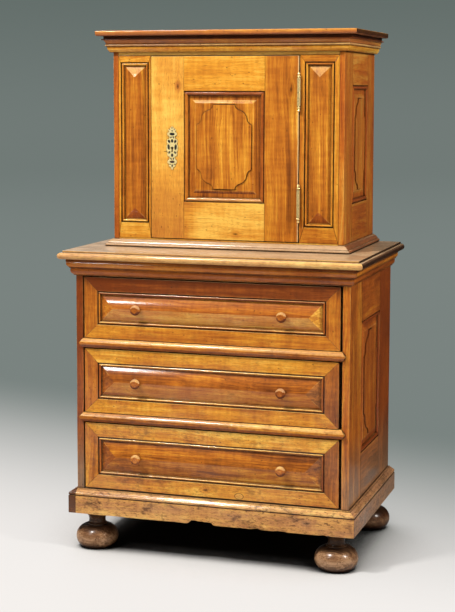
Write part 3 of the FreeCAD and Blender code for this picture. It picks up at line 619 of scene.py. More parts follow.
def worn_solid(triangles, radius, sway, axis, reshape, carved, seam_width):
    """One board with softened edges, as a mesh with its wear and its seams.

    The steep edges of carved boards are painted dark with the seams, as the shade along the walls of the
    carving.
    """
    shape = welded(triangles)
    ends = end_faces(shape, axis)
    for place, normal, _ in ends:
        cut(shape, place - normal * seam_width, normal)
    if sway:
        lows = [min(v.co[i] for v in shape.verts) for i in range(3)]
        highs = [max(v.co[i] for v in shape.verts) for i in range(3)]
        for i in range(3):
            count = int((highs[i] - lows[i]) / CUT_PITCH)
            normal = Vector((i == 0, i == 1, i == 2))
            for step in range(1, count + 1):
                cut(shape, normal * (lows[i] + step * (highs[i] - lows[i]) / (count + 1)), normal)
    if reshape:
        reshape(shape)
    weight = shape.edges.layers.float.new("bevel_weight_edge")
    shape.normal_update()
    joint_and_carving_lines = []
    for edge in shape.edges:
        edge[weight] = edge_radius(edge, radius) / radius
        # Joints are dark seams; the steep edges of a carving are painted shade.
        if edge[weight] > 0 and (is_joint(edge) or carved and edge.calc_face_angle() > CARVED_ANGLE):
            joint_and_carving_lines.append([vert.co + (swayed(vert.co) if sway else Vector()) for vert in edge.verts])
    seam = shape.verts.layers.float.new("seam")
    for vert in shape.verts:
        near = [darkness for place, normal, darkness in ends
                if abs((vert.co - place).dot(normal)) < SEAM_REACH]
        vert[seam] = max(near, default=0.0)
    if sway:
        for vert in shape.verts:
            vert.co += swayed(vert.co)
    return softened(shape, radius, joint_and_carving_lines)


def near_lines(places, lines, reach):
    """Which of some places lie within reach of any of some lines."""
    found = np.zeros(len(places), bool)
    for start, end in lines:
        start = np.array(start)
        along = np.array(end) - start
        share = np.clip((places - start) @ along / (along @ along), 0, 1)
        found |= np.linalg.norm(places - start - share[:, None] * along, axis=1) < reach
    return found


def softened(shape, radius, joint_and_carving_lines):
    """The mesh of a shape after its edges are rounded: worn edges, or dark seams at a joint and painted
    shade along carved edges.
    """
    mesh = bpy.data.meshes.new("board")
    shape.to_mesh(mesh)
    shape.free()
    for _ in range(2):
        mesh.materials.append(None)
    obj = bpy.data.objects.new("board", mesh)
    bpy.context.scene.collection.objects.link(obj)
    bevel = obj.modifiers.new("worn edges", "BEVEL")
    bevel.limit_method = "WEIGHT"
    bevel.width = radius
    bevel.segments = 2
    bevel.profile = EDGE_PROFILE
    bevel.use_clamp_overlap = False
    bevel.material = 1
    done = evaluated(obj)
    faces = len(done.polygons)
    kinds = np.zeros(faces, np.int32)
    done.polygons.foreach_get("material_index", kinds)
    worn = np.ones(len(done.vertices), np.float32)
    for face, kind in zip(done.polygons, kinds):
        if kind == 0:
            worn[list(face.vertices)] = 0.0
    places = np.zeros(len(done.vertices) * 3, np.float32)
    done.vertices.foreach_get("co", places)
    on_dark_line = near_lines(places.reshape(-1, 3), joint_and_carving_lines, radius) & (worn > 0)
    worn[on_dark_line] = 0.0
    seam_layer = done.attributes["seam"]
    seam = np.zeros(len(done.vertices), np.float32)
    seam_layer.data.foreach_get("value", seam)
    seam[on_dark_line] = 1.0
    seam_layer.data.foreach_set("value", seam)
    worn_layer = done.attributes.new("worn", "FLOAT", "POINT")
    worn_layer.data.foreach_set("value", worn)
    done.polygons.foreach_set("material_index", np.zeros(faces, np.int32))
    return done


def evaluated(obj):
    """The plain mesh that an object's modifiers give. The object itself is removed."""
    graph = bpy.context.evaluated_depsgraph_get()
    mesh = bpy.data.meshes.new_from_object(obj.evaluated_get(graph))
    old = obj.data
    bpy.data.objects.remove(obj)
    bpy.data.meshes.remove(old)
    return mesh


def set_vectors(mesh, name, vectors, domain="POINT"):
    """Gives a mesh a layer of vectors, one for each of its points or corners."""
    layer = mesh.attributes.new(name, "FLOAT_VECTOR", domain)
    layer.data.foreach_set("vector", np.asarray(vectors, np.float32).ravel())


def set_grain(mesh, axis, shift, knot, patch):
    """Gives a board its grain: places along, across and through it, and ways to its knot and patch."""
    places = np.zeros(len(mesh.vertices) * 3, np.float32)
    mesh.vertices.foreach_get("co", places)
    places = places.reshape(-1, 3)
    order = [axis] + [i for i in range(3) if i != axis]
    set_vectors(mesh, "plank", places[:, order] + np.array(shift))
    set_vectors(mesh, "knot", (places - np.array(knot) * MM)[:, order])
    centre, radii = patch
    set_vectors(mesh, "patch", (places - np.array(centre) * MM) / (np.array(radii) * MM))


def set_tone(mesh, tone, age, zone):
    """Gives each corner of a board's faces its tone and age.

    zone(place, normal, middle) adds to the tone, by the corner's place and its face's middle in mm.
    """
    tones = np.tile(np.array(tone, np.float32), (len(mesh.loops), 1))
    if zone:
        for face in mesh.polygons:
            middle = face.center / MM
            for loop, vertex in zip(face.loop_indices, face.vertices):
                tones[loop] += np.array(zone(mesh.vertices[vertex].co / MM, face.normal, middle))
    set_vectors(mesh, "tone", tones, "CORNER")
    set_vectors(mesh, "age", np.tile(np.array(age), (len(mesh.loops), 1)), "CORNER")


def joined(meshes, name):
    """One object of several meshes, all at the origin."""
    objects = []
    for mesh in meshes:
        obj = bpy.data.objects.new(name, mesh)
        bpy.context.scene.collection.objects.link(obj)
        objects.append(obj)
    if len(objects) > 1:
        with bpy.context.temp_override(active_object=objects[0], selected_editable_objects=objects):
            bpy.ops.object.join()
    return objects[0]


def finish_shading(obj, angle):
    """Smooth faces that keep their flats: normals weighted by face area."""
    obj.data.shade_smooth()
    obj.data.set_sharp_from_angle(angle=angle)
    weighted = obj.modifiers.new("flat faces stay flat", "WEIGHTED_NORMAL")
    weighted.keep_sharp = True
    name = obj.name
    mesh = evaluated(obj)
    done = bpy.data.objects.new(name, mesh)
    bpy.context.scene.collection.objects.link(done)
    return done


BODY_OF = {node: body for body, nodes in frame["record"]["behaviour"]["bodies"].items() for node in nodes}
SLOT_OF = {row["node"]: row["material_slot"] for row in frame["record"]["subparts"]}

# Tones of the boards as (light, red, faded), where faded is bleaching and painted sheen; a frame's boards
# go bottom, right, top, left
TONES = {
    "door_frame": [(1.25, -0.1, 0.05), (0.15, 0.2, 0), (0.75, 0, 0), (1.55, -0.1, 0.08)],
    "door_panel": [(0.20, 0.15, 0)],
    # The door panel's moulding is painted pale at the bottom and dark at the top and right, as light and
    # shade.
    "door_panel_moulding": [(1.0, 0.3, 0.3), (-1.0, 0.6, 0), (-1.3, 0.5, 0), (0.3, 0.4, 0)],
    "pilaster_left_frame": [(1.3, 0, 0), (0.2, 0.1, 0), (0.9, 0, 0), (0.3, 0.1, 0)],
    "pilaster_right_frame": [(0.5, 0, 0), (0.3, 0.2, 0), (0.5, 0.1, 0), (0.3, 0.2, 0)],
    "pilaster_left_panel": [(-0.1, 0.3, 0)],
    "pilaster_right_panel": [(-0.25, 0.2, 0)],
    # The rail under the cornice is painted much lighter, as light where the cornice shades it.
    "cabinet_front_rails": [(0.7, 0, 0), (1.9, 0.5, 0.1)],
    "cornice": [(0.1, 0.4, 0)],
    "cabinet_top_board": [(0.2, 0.2, 0.1)],
    "cabinet_right_frame": [(0.1, 0.9, 0), (0.0, 1.0, 0), (1.0, 0.9, 0), (0.9, 0.8, 0)],
    "cabinet_left_frame": [(0.0, 0.7, 0)],
    "cabinet_right_panel": [(0.8, 0.9, 0)],
    "cabinet_left_panel": [(0.0, 0.7, 0)],
    # The base moulding and the chest's top are painted pale as a sheen.
    "cabinet_base_moulding": [(-0.5, 0.1, 0.85)],
    "chest_top_boards": [(-0.5, 0, 0.95)],
    "chest_top_moulding": [(1.1, 0.3, 0)],
    "chest_right_frame": [(-0.7, 0.7, 0), (-1.7, 0.8, 0), (-0.3, 0.7, 0), (-0.1, 0.6, 0)],
    "chest_left_frame": [(-0.2, 0.6, 0), (-1.9, 0.6, 0), (-0.2, 0.6, 0), (-0.2, 0.6, 0)],
    "chest_right_panel": [(-0.4, 0.8, 0)],
    "chest_left_panel": [(-0.1, 0.5, 0)],
    "drawer_divider_upper": [(-0.6, 0.2, 0)],
    "drawer_divider_lower": [(-0.1, 0.2, 0)],
    # The upper drawer's top board is painted dark, as the shadow under the chest's top.
    "drawer_upper_front_frame": [(0.5, 0.2, 0), (-0.4, 0.3, 0), (-1.4, 0.5, 0), (0.2, 0.3, 0)],
    "drawer_middle_front_frame": [(0.5, 0, 0), (-0.4, 0.3, 0), (0.8, 0, 0), (-0.3, 0.4, 0)],
    "drawer_lower_front_frame": [(0.9, 0, 0.08), (-0.6, 0.3, 0.05), (0.7, 0, 0.03), (-0.1, 0.2, 0)],
    "drawer_upper_front_panel": [(0.0, 0.2, 0)],
    "drawer_middle_front_panel": [(-0.4, 0.2, 0)],
    "drawer_lower_front_panel": [(-0.5, 0.2, 0)],
    "drawer_upper_knobs": [(-0.5, 0.4, 0)],
    "drawer_middle_knobs": [(-0.7, 0.4, 0)],
    "drawer_lower_knobs": [(-0.4, 0.4, 0)],
    "plinth_front": [(0.6, 0, 0.35)],
    "plinth_right": [(-0.8, 0.2, 0.35)],
    "plinth_left": [(-0.3, 0.3, 0.3)],
    "foot_back_left": [(-1.5, 0, 0)],
    "foot_back_right": [(-1.9, 0, 0)],
}

# How boards have aged: strength of the figure, decay, and how free they are of grime and painted corner
# shade
AGES = {
    "door_frame": [(0.45, 0, 0), (0.55, 0, 0), (0.40, 0, 0), (0.25, 0, 0)],
    "door_panel": [(0.7, 0, 0)],
    # The front rails are kept free of grime and painted corner shade.
    "cabinet_front_rails": [(0.5, 0, 0.8)],
    "pilaster_left_panel": [(0.6, 0.1, 0)],
    "drawer_upper_front_frame": [(0.5, 0.25, 0)],
    "drawer_middle_front_frame": [(0.5, 0.3, 0)],
    "drawer_lower_front_frame": [(0.5, 0.5, 0)],
    "drawer_upper_front_panel": [(0.7, 0.2, 0)],
    "drawer_middle_front_panel": [(0.75, 0.3, 0)],
    "drawer_lower_front_panel": [(0.75, 0.35, 0)],
    "drawer_divider_upper": [(0.5, 0.4, 0)],
    "drawer_divider_lower": [(0.5, 0.5, 0)],
    "chest_right_frame": [(0.9, 0.2, 0)],
    "cabinet_right_frame": [(0.9, 0.15, 0)],
    "cabinet_right_panel": [(0.9, 0.15, 0)],
    "chest_right_panel": [(0.9, 0.2, 0)],
    "plinth_front": [(0.5, 1.0, 0)],
    "plinth_right": [(0.5, 0.9, 0)],
    "plinth_left": [(0.5, 0.9, 0)],
    "chest_top_boards": [(0.5, 0.3, 0)],
}
USUAL_AGE = (0.6, 0.1, 0)
FOOT_AGE = (1.0, 0.1, 0)
CARVED = (
    "door_panel", "cabinet_left_panel", "cabinet_right_panel", "chest_left_panel", "chest_right_panel",
)

# Radii of worn edges in mm
EDGES = {
    "plinth_front": 2.4, "plinth_left": 2.4, "plinth_right": 2.4, **{node: 2.0 for node in CARVED},
    "chest_top_boards": 1.6, "cabinet_top_board": 1.4, "cornice": 1.0, "cabinet_base_moulding": 1.0,
    "drawer_divider_upper": 1.4, "drawer_divider_lower": 1.4, "hinge_pintles": 0.4, "hinge_knuckles": 0.4,
}
USUAL_EDGE = 1.1
TURNED = ("foot_", "hinge_")
OPEN_JOINTED = ("chest_left_frame", "chest_right_frame", "cabinet_left_frame", "cabinet_right_frame")
HIPPED = ("drawer_lower_front_panel", "drawer_middle_front_panel", "drawer_upper_front_panel",
          "pilaster_left_panel", "pilaster_right_panel")
RESHAPED = {"plinth_front": ragged, "door_frame": rimmed, **{node: swollen for node in HIPPED}}

# Where the zones of a board's tone change, in mm
DRAWER_FACE = -286.5
FRAME_SHADE = (880, 922)
PLINTH_LINE = (184.5, 188)
DOOR_FACE = -111
DOOR_TOP = 1649
DOOR_LEFT_STILE = -130
STILE_SHADE = (1080, 1380)
SIDE_FOOT = (250, 430)
SIDE_FRONT = -250
CHEST_SIDE_FACE = 466
CHEST_SIDE_OPENING = (-118, 160, 353, 791)
CABINET_SIDE_FACE = 400
CABINET_SIDE_OPENING = (4, 232, 1162, 1556)
CARTOUCHE_DEPTH = 8.5
PANEL_DEPTHS = (4, 12)

# Changes of tone that come back: painted black and dark shade
NO_CHANGE = (0, 0, 0)
SHADE_BLACK = (-2.6, 0, 0)
SIDE_BORDER_SHADE = (-1.0, 0.2, 0)


def banded(*bands):
    """A zone of level bands, each as (top in mm, change of tone), from the lowest up."""
    def zone(place, normal, middle):
        return next((change for top, change in bands if place.z < top), NO_CHANGE)

    return zone


def graded(*stops):
    """A zone that changes evenly between heights, each as (height in mm, change of tone)."""
    heights = [height for height, _ in stops]
    parts = list(zip(*(change for _, change in stops)))
    return lambda place, normal, middle: [np.interp(place.z, heights, part) for part in parts]


def share_up(z, span):
    """How far a height lies up a span of heights, from 0 to 1."""
    low, high = span
    return min(1.0, max(0.0, (z - low) / (high - low)))


def hip_facets(right_end, upper, lower):
    """The slopes of a drawer's panel differ in tone: partly painted light and sheen, by the way each
    slope faces the lamps, and partly because the ends are cut across the grain.
    """
    def zone(place, normal, middle):
        if abs(normal.x) > 0.1:
            return right_end if normal.x > 0 else (-0.35, 0.2, 0)
        if abs(normal.z) > 0.1:
            return upper if normal.z > 0 else lower
        return NO_CHANGE

    return zone


def bead_light_and_shade(place, normal, middle):
    """The bead inside a drawer's frame is painted pale as a highlight where it faces up, and dark as
    shade below.
    """
    if normal.y < -0.97 and middle.y < DRAWER_FACE or normal.y > -0.2:
        return NO_CHANGE
    if normal.z > 0.25:
        return (1.3, -0.3, 0.5)
    return (-0.9, 0.3, 0) if normal.z < -0.25 else (-0.3, 0.4, 0)


def shaded_beads(place, normal, middle):
    """The upper drawer's frame is painted darker toward its top, as the shadow close under the moulding.
    """
    low, high = FRAME_SHADE
    share = max(0.0, (place.z - low) / (high - low))
    light, red, faded_and_sheen = bead_light_and_shade(place, normal, middle)
    return (light - 1.4 * share, red, faded_and_sheen)


def plinth_bands(place, normal, middle):
    """The plinth's left end is dark end grain of the side board; a dark line under its moulding is
    painted shade, and the moulding above is painted paler as a highlight.
    """
    if middle.x < PLINTH_END / MM:
        return (-3.2, 0.2, -0.3)
    low, high = PLINTH_LINE
    if low < place.z < high:
        return (-2.2, 0, -0.4)
    return (0.3, 0.3, 0.15) if place.z > high else NO_CHANGE


def top_light_and_shade(place, normal, middle):
    """The chest's top is painted pale as a sheen, its front edge yellow as a highlight and its right edge
    dark as shade.
    """
    if normal.x > 0.5:
        return (-1.5, 0.3, -0.7)
    return (1.3, -0.1, -0.45) if normal.y < -0.25 and normal.z < 0.9 else NO_CHANGE


def pale_rims(place, normal, middle):
    """The door's top edge and hinge edge are painted pale as highlights. Its left stile is darker lower
    down.
    """
    if middle.z > DOOR_TOP:
        return (0.9, 0, 0.7)
    if middle.x > DOOR_RIM / MM:
        return (1.0, 0.3, 0.8)
    share = 1 - share_up(place.z, STILE_SHADE)
    return (-1.1 * share, 0.2 * share, 0) if place.x < DOOR_LEFT_STILE else NO_CHANGE


def dark_right(place, normal, middle):
    """The base moulding of the cabinet is painted dark on its right side, as shade."""
    return (-1.3, 0.4, -0.7) if normal.x > 0.4 else NO_CHANGE


def nose_light_and_shade(place, normal, middle):
    """A drawer divider is painted pale on top of its nose as a highlight, and dark below as shade."""
    if normal.z > 0.2:
        return (1.1, -0.1, 0.35)
    return (-1.0, 0.2, 0) if normal.z < -0.3 else NO_CHANGE


def knob_light_and_shade(place, normal, middle):
    """A knob is painted pale on top as a highlight, and dark below as shade."""
    if normal.z > 0.25:
        return (1.2, -0.2, 0.5)
    return (-1.6, 0, 0) if normal.z < -0.1 else NO_CHANGE


def pilaster_facet_light(place, normal, middle):
    """The upper slope of a pilaster's panel is painted pale as a highlight, and its lower slope dark as
    shade.
    """
    if normal.z > 0.1:
        return (0.9, -0.1, 0.35)
    return (-0.6, 0.4, 0) if normal.z < -0.1 else NO_CHANGE


def side_moulding(y0, y1, z0, z1):
    """The moulding inside a side frame and its strip beside the drawers are painted dark as shade; its
    foot is greyed.
    """
    def zone(place, normal, middle):
        if y0 < middle.y < y1 and z0 < middle.z < z1:
            return SHADE_BLACK if abs(normal.z) > 0.2 else (-1.2, 0.2, 0)
        inward = normal.x * place.x < 0 and abs(normal.x) > 0.9
        if inward and place.y < SIDE_FRONT:
            return (-3.5, 0, 0)
        share = 1 - share_up(place.z, SIDE_FOOT)
        return (-0.5 * share, -0.4 * share, 0.3 * share)

    return zone


def carved_panel(axis, face, border, upper=NO_CHANGE, lower=NO_CHANGE):
    """The border of a panel and the walls of its cartouche are painted dark, as the shade in these
    recesses. Its frame's face lies at `face`.

    The bevels that face up and down may be painted pale as a highlight and dark as shade.
    """
    way = math.copysign(1, face)
    shallow, deepest = PANEL_DEPTHS

    def zone(place, normal, middle):
        deep = (face - place[axis]) * way
        if abs(normal[axis]) < 0.2 and deep < CARTOUCHE_DEPTH:
            return SHADE_BLACK
        if deep > shallow and abs(normal.z) > 0.12:
            return upper if normal.z > 0 else lower
        return border if shallow < deep < deepest else NO_CHANGE

    return zone


# The feet are painted dark at their top under the case and at the floor as shade, and pale round their
# belly as a sheen.
FOOT_LIGHT_AND_SHADE = graded(
    (4, (-1.9, 0, 0)), (16, (0.0, 0.15, 0)), (38, (1.6, 0.25, 0.12)), (54, (0.5, 0.2, 0)),
    (72, (-1.2, 0, 0)),
)
# The cornice is painted in bands: black and dark under its overhangs as shade, pale on its beads and
# fillet as highlights.
CORNICE_LIGHT_AND_SHADE = banded(
    (1665.5, SHADE_BLACK), (1683.2, (0.9, -0.2, 0)), (1684.6, (-1.8, 0, 0)), (1690.7, (1.2, 0, 0.5)),
    (1692.6, (-2.0, 0, 0)), (1704.4, (0.2, 0.2, 0.1)), (1708.2, (-1.9, 0, 0)), (1719, SHADE_BLACK),
)
# The chest's top moulding is painted black and dark in bands under its overhangs, as shade.
TOP_MOULDING_SHADE = banded(
    (930.3, SHADE_BLACK), (948.3, (-1.9, 0.3, 0)), (951.8, (-1.4, 0.2, 0)), (955.2, SHADE_BLACK),
    (972.3, (-0.7, 0.3, 0)), (983, (-2.2, 0, 0)),
)
ZONES = {
    "cornice": CORNICE_LIGHT_AND_SHADE,
    # The cabinet's top edge is painted darker toward its foot, as shade on its rounded edge.
    "cabinet_top_board": graded((1718, (-1.7, 0.4, 0)), (1731, (0.3, 0.1, 0))),
    "chest_top_moulding": TOP_MOULDING_SHADE,
    "door_frame": pale_rims,
    "door_panel": carved_panel(1, DOOR_FACE, (-0.6, 0.2, 0), (1.0, 0, 0.5), (-2.6, 0.2, 0)),
    "plinth_front": plinth_bands,
    "plinth_right": plinth_bands,
    "chest_top_boards": top_light_and_shade,
    "cabinet_base_moulding": dark_right,
    "drawer_divider_upper": nose_light_and_shade,
    "drawer_divider_lower": nose_light_and_shade,
    "drawer_upper_front_panel": hip_facets((0.8, -0.1, 0.05), (-0.55, 0.2, 0), (0.95, 0.42, 0.08)),
    "drawer_middle_front_panel": hip_facets((-0.2, 0, 0.1), (-0.25, 0.1, 0), (0.7, 0.35, 0.08)),
    "drawer_lower_front_panel": hip_facets((0.15, 0, 0.05), (0.15, 0, 0), (0.3, 0.1, 0.05)),
    "drawer_upper_front_frame": shaded_beads,
    "drawer_middle_front_frame": bead_light_and_shade,
    "drawer_lower_front_frame": bead_light_and_shade,
}
for level in ("upper", "middle", "lower"):
    ZONES[f"drawer_{level}_knobs"] = knob_light_and_shade
for side, way in (("left", -1), ("right", 1)):
    ZONES[f"pilaster_{side}_panel"] = pilaster_facet_light
    ZONES[f"chest_{side}_frame"] = side_moulding(*CHEST_SIDE_OPENING)
    ZONES[f"chest_{side}_panel"] = carved_panel(0, way * CHEST_SIDE_FACE, SIDE_BORDER_SHADE)
    ZONES[f"cabinet_{side}_frame"] = side_moulding(*CABINET_SIDE_OPENING)
    ZONES[f"cabinet_{side}_panel"] = carved_panel(0, way * CABINET_SIDE_FACE, SIDE_BORDER_SHADE)
    for end in ("front", "back"):
        ZONES[f"foot_{end}_{side}"] = FOOT_LIGHT_AND_SHADE

# Knots, and let-in patches with their half sizes, by node and board, in mm
KNOTS = {
    ("door_frame", 3): (-170, -111, 1550),
    ("door_frame", 1): (221, -111, 1540),
    ("door_frame", 0): (32, -111, 1062),
    ("drawer_lower_front_panel", 0): (212, -285, 300),
    ("drawer_lower_front_frame", 0): (-12.5, -288.5, 235),
    ("plinth_front", 0): (335, -311, 160),
    ("chest_right_frame", 1): (466, 250, 620),
}
PATCHES = {
    ("drawer_lower_front_frame", 0): ((102, -288.5, 224), (15, 60, 10)),
    ("pilaster_right_frame", 2): ((374, -109, 1640), (4, 60, 4)),
}
FAR = (9000, 9000, 9000)


def worn_piece(node, chance):
    """A CAD node as its boards, worn and with their own grain, in place of the node."""
    slot = SLOT_OF[node]
    turned = node.startswith(TURNED) or node.endswith("_knobs")
    tones = TONES.get(node, [(0, 0, 0)])
    ages = AGES.get(node, [FOOT_AGE if slot == "dark_walnut" else USUAL_AGE])
    sway = SWAY if slot == "walnut" and not turned else 0
    meshes = []
    for number, triangles in enumerate(solids_of(node)):
        axis = 0 if node.startswith("foot_") else grain_axis(triangles)
        shift = [chance.uniform(-GRAIN_SHIFT, GRAIN_SHIFT) for _ in range(3)]
        tone = list(tones[number % len(tones)])
        tone[0] += chance.uniform(-TONE_SPREAD, TONE_SPREAD)
        radius = EDGES.get(node, USUAL_EDGE) * MM
        gap = OPEN_SEAM if node in OPEN_JOINTED else SEAM_WIDTH
        mesh = worn_solid(triangles, radius, sway, axis, RESHAPED.get(node), node in CARVED, gap)
        board = (node, number)
        set_grain(mesh, axis, shift, KNOTS.get(board, FAR), PATCHES.get(board, (FAR, (1, 1, 1))))
        set_tone(mesh, tone, ages[number % len(ages)], ZONES.get(node))
        meshes.append(mesh)
    angle = HIP_SMOOTH_ANGLE if node in HIPPED else SMOOTH_ANGLE
    piece = finish_shading(joined(meshes, "worn_" + node), angle)
    piece.data.materials.clear()
    piece.data.materials.append(HINGE_FINISH if node.startswith("hinge_") else FINISHES[slot])
    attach(piece, BODY_OF[node])
    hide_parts(node)
    return piece


def hole_loop(x, z, wide, high, turn):
    """Points round an oval hole that leans by a turn."""
    loop = []
    for step in range(HOLE_POINTS):
        angle = -step * math.tau / HOLE_POINTS
        across = wide * math.cos(angle)
        up = high * math.sin(angle)
        loop.append((x + across * math.cos(turn) - up * math.sin(turn),
                     z + across * math.sin(turn) + up * math.cos(turn)))
    return loop


def flat_plate(name, outline, holes, half_thickness, rounding):
    """Mesh of a plate with holes, lying flat: all its loops in one curve, filled and raised."""
    curve = bpy.data.curves.new(name, "CURVE")
    curve.dimensions = "2D"
    curve.fill_mode = "BOTH"
    curve.resolution_u = 6
    curve.extrude = half_thickness - rounding
    curve.bevel_depth = rounding
    curve.bevel_resolution = 1
    add_loop(curve, outline)
    for x, z, wide, high, lean in holes:
        for side in ((-1, 1) if x else (1,)):
            add_loop(curve, hole_loop(side * x, z, wide, high, side * math.radians(lean)))
    add_loop(curve, KEYHOLE)
    obj = bpy.data.objects.new(name, curve)
    bpy.context.scene.collection.objects.link(obj)
    graph = bpy.context.evaluated_depsgraph_get()
    mesh = bpy.data.meshes.new_from_object(obj.evaluated_get(graph))
    bpy.data.objects.remove(obj)
    bpy.data.curves.remove(curve)
    return mesh


def key_plate():
    """Pierced brass key plate on the door, over a dark sheet in the iron finish that stands in for the
    shade inside its holes.
    """
    outline = PLATE_OUTLINE + [(-x, z) for x, z in PLATE_OUTLINE[-2:0:-1]]
    hole_shade_sheet = [(x * SHEET_SHARE, z * SHEET_SHARE) for x, z in outline]
    pieces = (
        ("worn_escutcheon", outline, PLATE_HOLES, PLATE_THICKNESS, PLATE_ROUNDING, "brass"),
        # The dark sheet is painted shade, seen through the holes of the plate.
        ("escutcheon_hole_shade", hole_shade_sheet, [], SHEET_THICKNESS, 0, "wrought_iron"),
    )
    x, y, z = [c * MM for c in PLATE_CENTRE]
    for name, edge, holes, thickness, rounding, slot in pieces:
        lift = thickness / 2
        mesh = flat_plate(name, edge, holes, lift, rounding)
        for vert in mesh.vertices:
            across, up, out = vert.co
            place = Vector((x + across, y - lift - out, z + up))
            vert.co = place + swayed(place)
        mesh.materials.clear()
        mesh.materials.append(FINISHES[slot])
        piece = bpy.data.objects.new(name, mesh)
        bpy.context.scene.collection.objects.link(piece)
        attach(piece, BODY_OF["escutcheon"])
        if slot == "brass":
            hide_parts("escutcheon")


def add_loop(curve, points):
    """A closed smooth loop through points in mm."""
    spline = curve.splines.new("BEZIER")
    spline.bezier_points.add(len(points) - 1)
    spline.use_cyclic_u = True
    for knot, (x, z) in zip(spline.bezier_points, points):
        knot.co = (x * MM, z * MM, 0)
        knot.handle_left_type = "AUTO"
        knot.handle_right_type = "AUTO"


def nail_heads_tree():
    """Node tree of forged nail heads in an upright grid at the back, each turned a little its own way."""
    tree = bpy.data.node_groups.new("nail_heads", "GeometryNodeTree")
    tree.interface.new_socket("Geometry", in_out="OUTPUT", socket_type="NodeSocketGeometry")
    for name, kind in NAIL_INPUTS:
        tree.interface.new_socket(name, in_out="INPUT", socket_type="NodeSocket" + kind)
    given = tree.nodes.new("NodeGroupInput").outputs

    def add(kind, sockets):
        node = tree.nodes.new(kind)
        for key, value in sockets.items():
            if isinstance(value, bpy.types.NodeSocket):
                tree.links.new(value, node.inputs[key])
            else:
                node.inputs[key].default_value = value
        return node.outputs[0]

    grid = add("GeometryNodeMeshGrid", {
        "Size X": given["Width"], "Size Y": given["Height"], "Vertices X": 2, "Vertices Y": given["Rows"],
    })
    upright = add("GeometryNodeTransform", {
        "Geometry": grid, "Rotation": (math.pi / 2, 0, 0), "Translation": given["Centre"],
    })
    head = add("GeometryNodeMeshCone", {
        "Vertices": NAIL_SIDES, "Radius Top": given["Top Radius"], "Radius Bottom": given["Radius"],
        "Depth": given["Depth"],
    })
    turn = tree.nodes.new("FunctionNodeRandomValue")
    turn.data_type = "FLOAT_VECTOR"
    turn.inputs["Min"].default_value = (-math.pi / 2 - NAIL_LEAN, 0, -NAIL_LEAN)
    turn.inputs["Max"].default_value = (-math.pi / 2 + NAIL_LEAN, 0, NAIL_LEAN)
    turn.inputs["Seed"].default_value = NAIL_SEED
    strewn = add("GeometryNodeInstanceOnPoints", {
        "Points": upright, "Instance": head, "Rotation": turn.outputs[0],
    })
    real = add("GeometryNodeRealizeInstances", {"Geometry": strewn})
    done = add("GeometryNodeSetMaterial", {"Geometry": real, "Material": FINISHES["wrought_iron"]})
    out = tree.nodes.new("NodeGroupOutput")
    tree.links.new(done, out.inputs["Geometry"])
    return tree


def back_nails():
    """Nails that hold the back boards to the case, two in each end of a board."""
    tree = nail_heads_tree()
    meshes = []
    for node in ("chest_back_boards", "cabinet_back_boards"):
        low, high = [Vector(corner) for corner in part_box(node)]
        pitch = (high.z - low.z) / (2 * BACK_BOARDS)
        sizes = {
            "Width": high.x - low.x - 2 * NAIL_INSET,
            "Height": high.z - low.z - pitch,
            "Rows": 2 * BACK_BOARDS,
            "Centre": (0, high.y, (low.z + high.z) / 2),
            "Radius": NAIL_RADIUS,
            "Top Radius": NAIL_TOP_RADIUS,
            "Depth": NAIL_DEPTH,
        }
        obj = bpy.data.objects.new("back_nails", bpy.data.meshes.new("back_nails"))
        bpy.context.scene.collection.objects.link(obj)
        nails = obj.modifiers.new("nail heads", "NODES")
        nails.node_group = tree
        for socket in tree.interface.items_tree:
            if socket.in_out == "INPUT":
                nails[socket.identifier] = sizes[socket.name]
        meshes.append(evaluated(obj))
    piece = joined(meshes, "back_nails")
    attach(piece, BODY_OF["chest_back_boards"])


chance = random.Random(GRAIN_SEED)
for node in sorted(frame["nodes"]):
    if node != "escutcheon":
        worn_piece(node, chance)
key_plate()
back_nails()


def area_light(name, place, aim, size, power, colour=(1, 1, 1), mirrored=True):
    """A soft box at a place, turned to what it lights. The camera does not see it; wax may mirror it."""
    lamp = bpy.data.lights.new(name, "AREA")
    lamp.shape = "RECTANGLE"
    lamp.size, lamp.size_y = size
    lamp.energy = power
    lamp.color = colour
    obj = bpy.data.objects.new(name, lamp)
    obj.location = place
    obj.rotation_euler = (Vector(aim) - Vector(place)).to_track_quat("-Z", "Y").to_euler()
    obj.visible_camera = False
    obj.visible_glossy = mirrored
    bpy.context.scene.collection.objects.link(obj)


def black_flag():
    """A dark cloth beside the piece, out of the picture, that its right side mirrors."""
    material, shade = new_material("black_flag")
    cloth = shade.add("BsdfDiffuse", {"Color": FLAG_CLOTH})
    shade.add("OutputMaterial", {"Surface": cloth})
    mesh = bpy.data.meshes.new("black_flag")
    (x0, y0), (x1, y1), top = FLAG
    mesh.from_pydata([(x0, y0, 0), (x1, y1, 0), (x1, y1, top), (x0, y0, top)], [], [(0, 1, 2, 3)])
    mesh.materials.append(material)
    flag = bpy.data.objects.new("black_flag", mesh)
    flag.visible_camera = False
    flag.visible_diffuse = False
    flag.visible_shadow = False
    bpy.context.scene.collection.objects.link(flag)


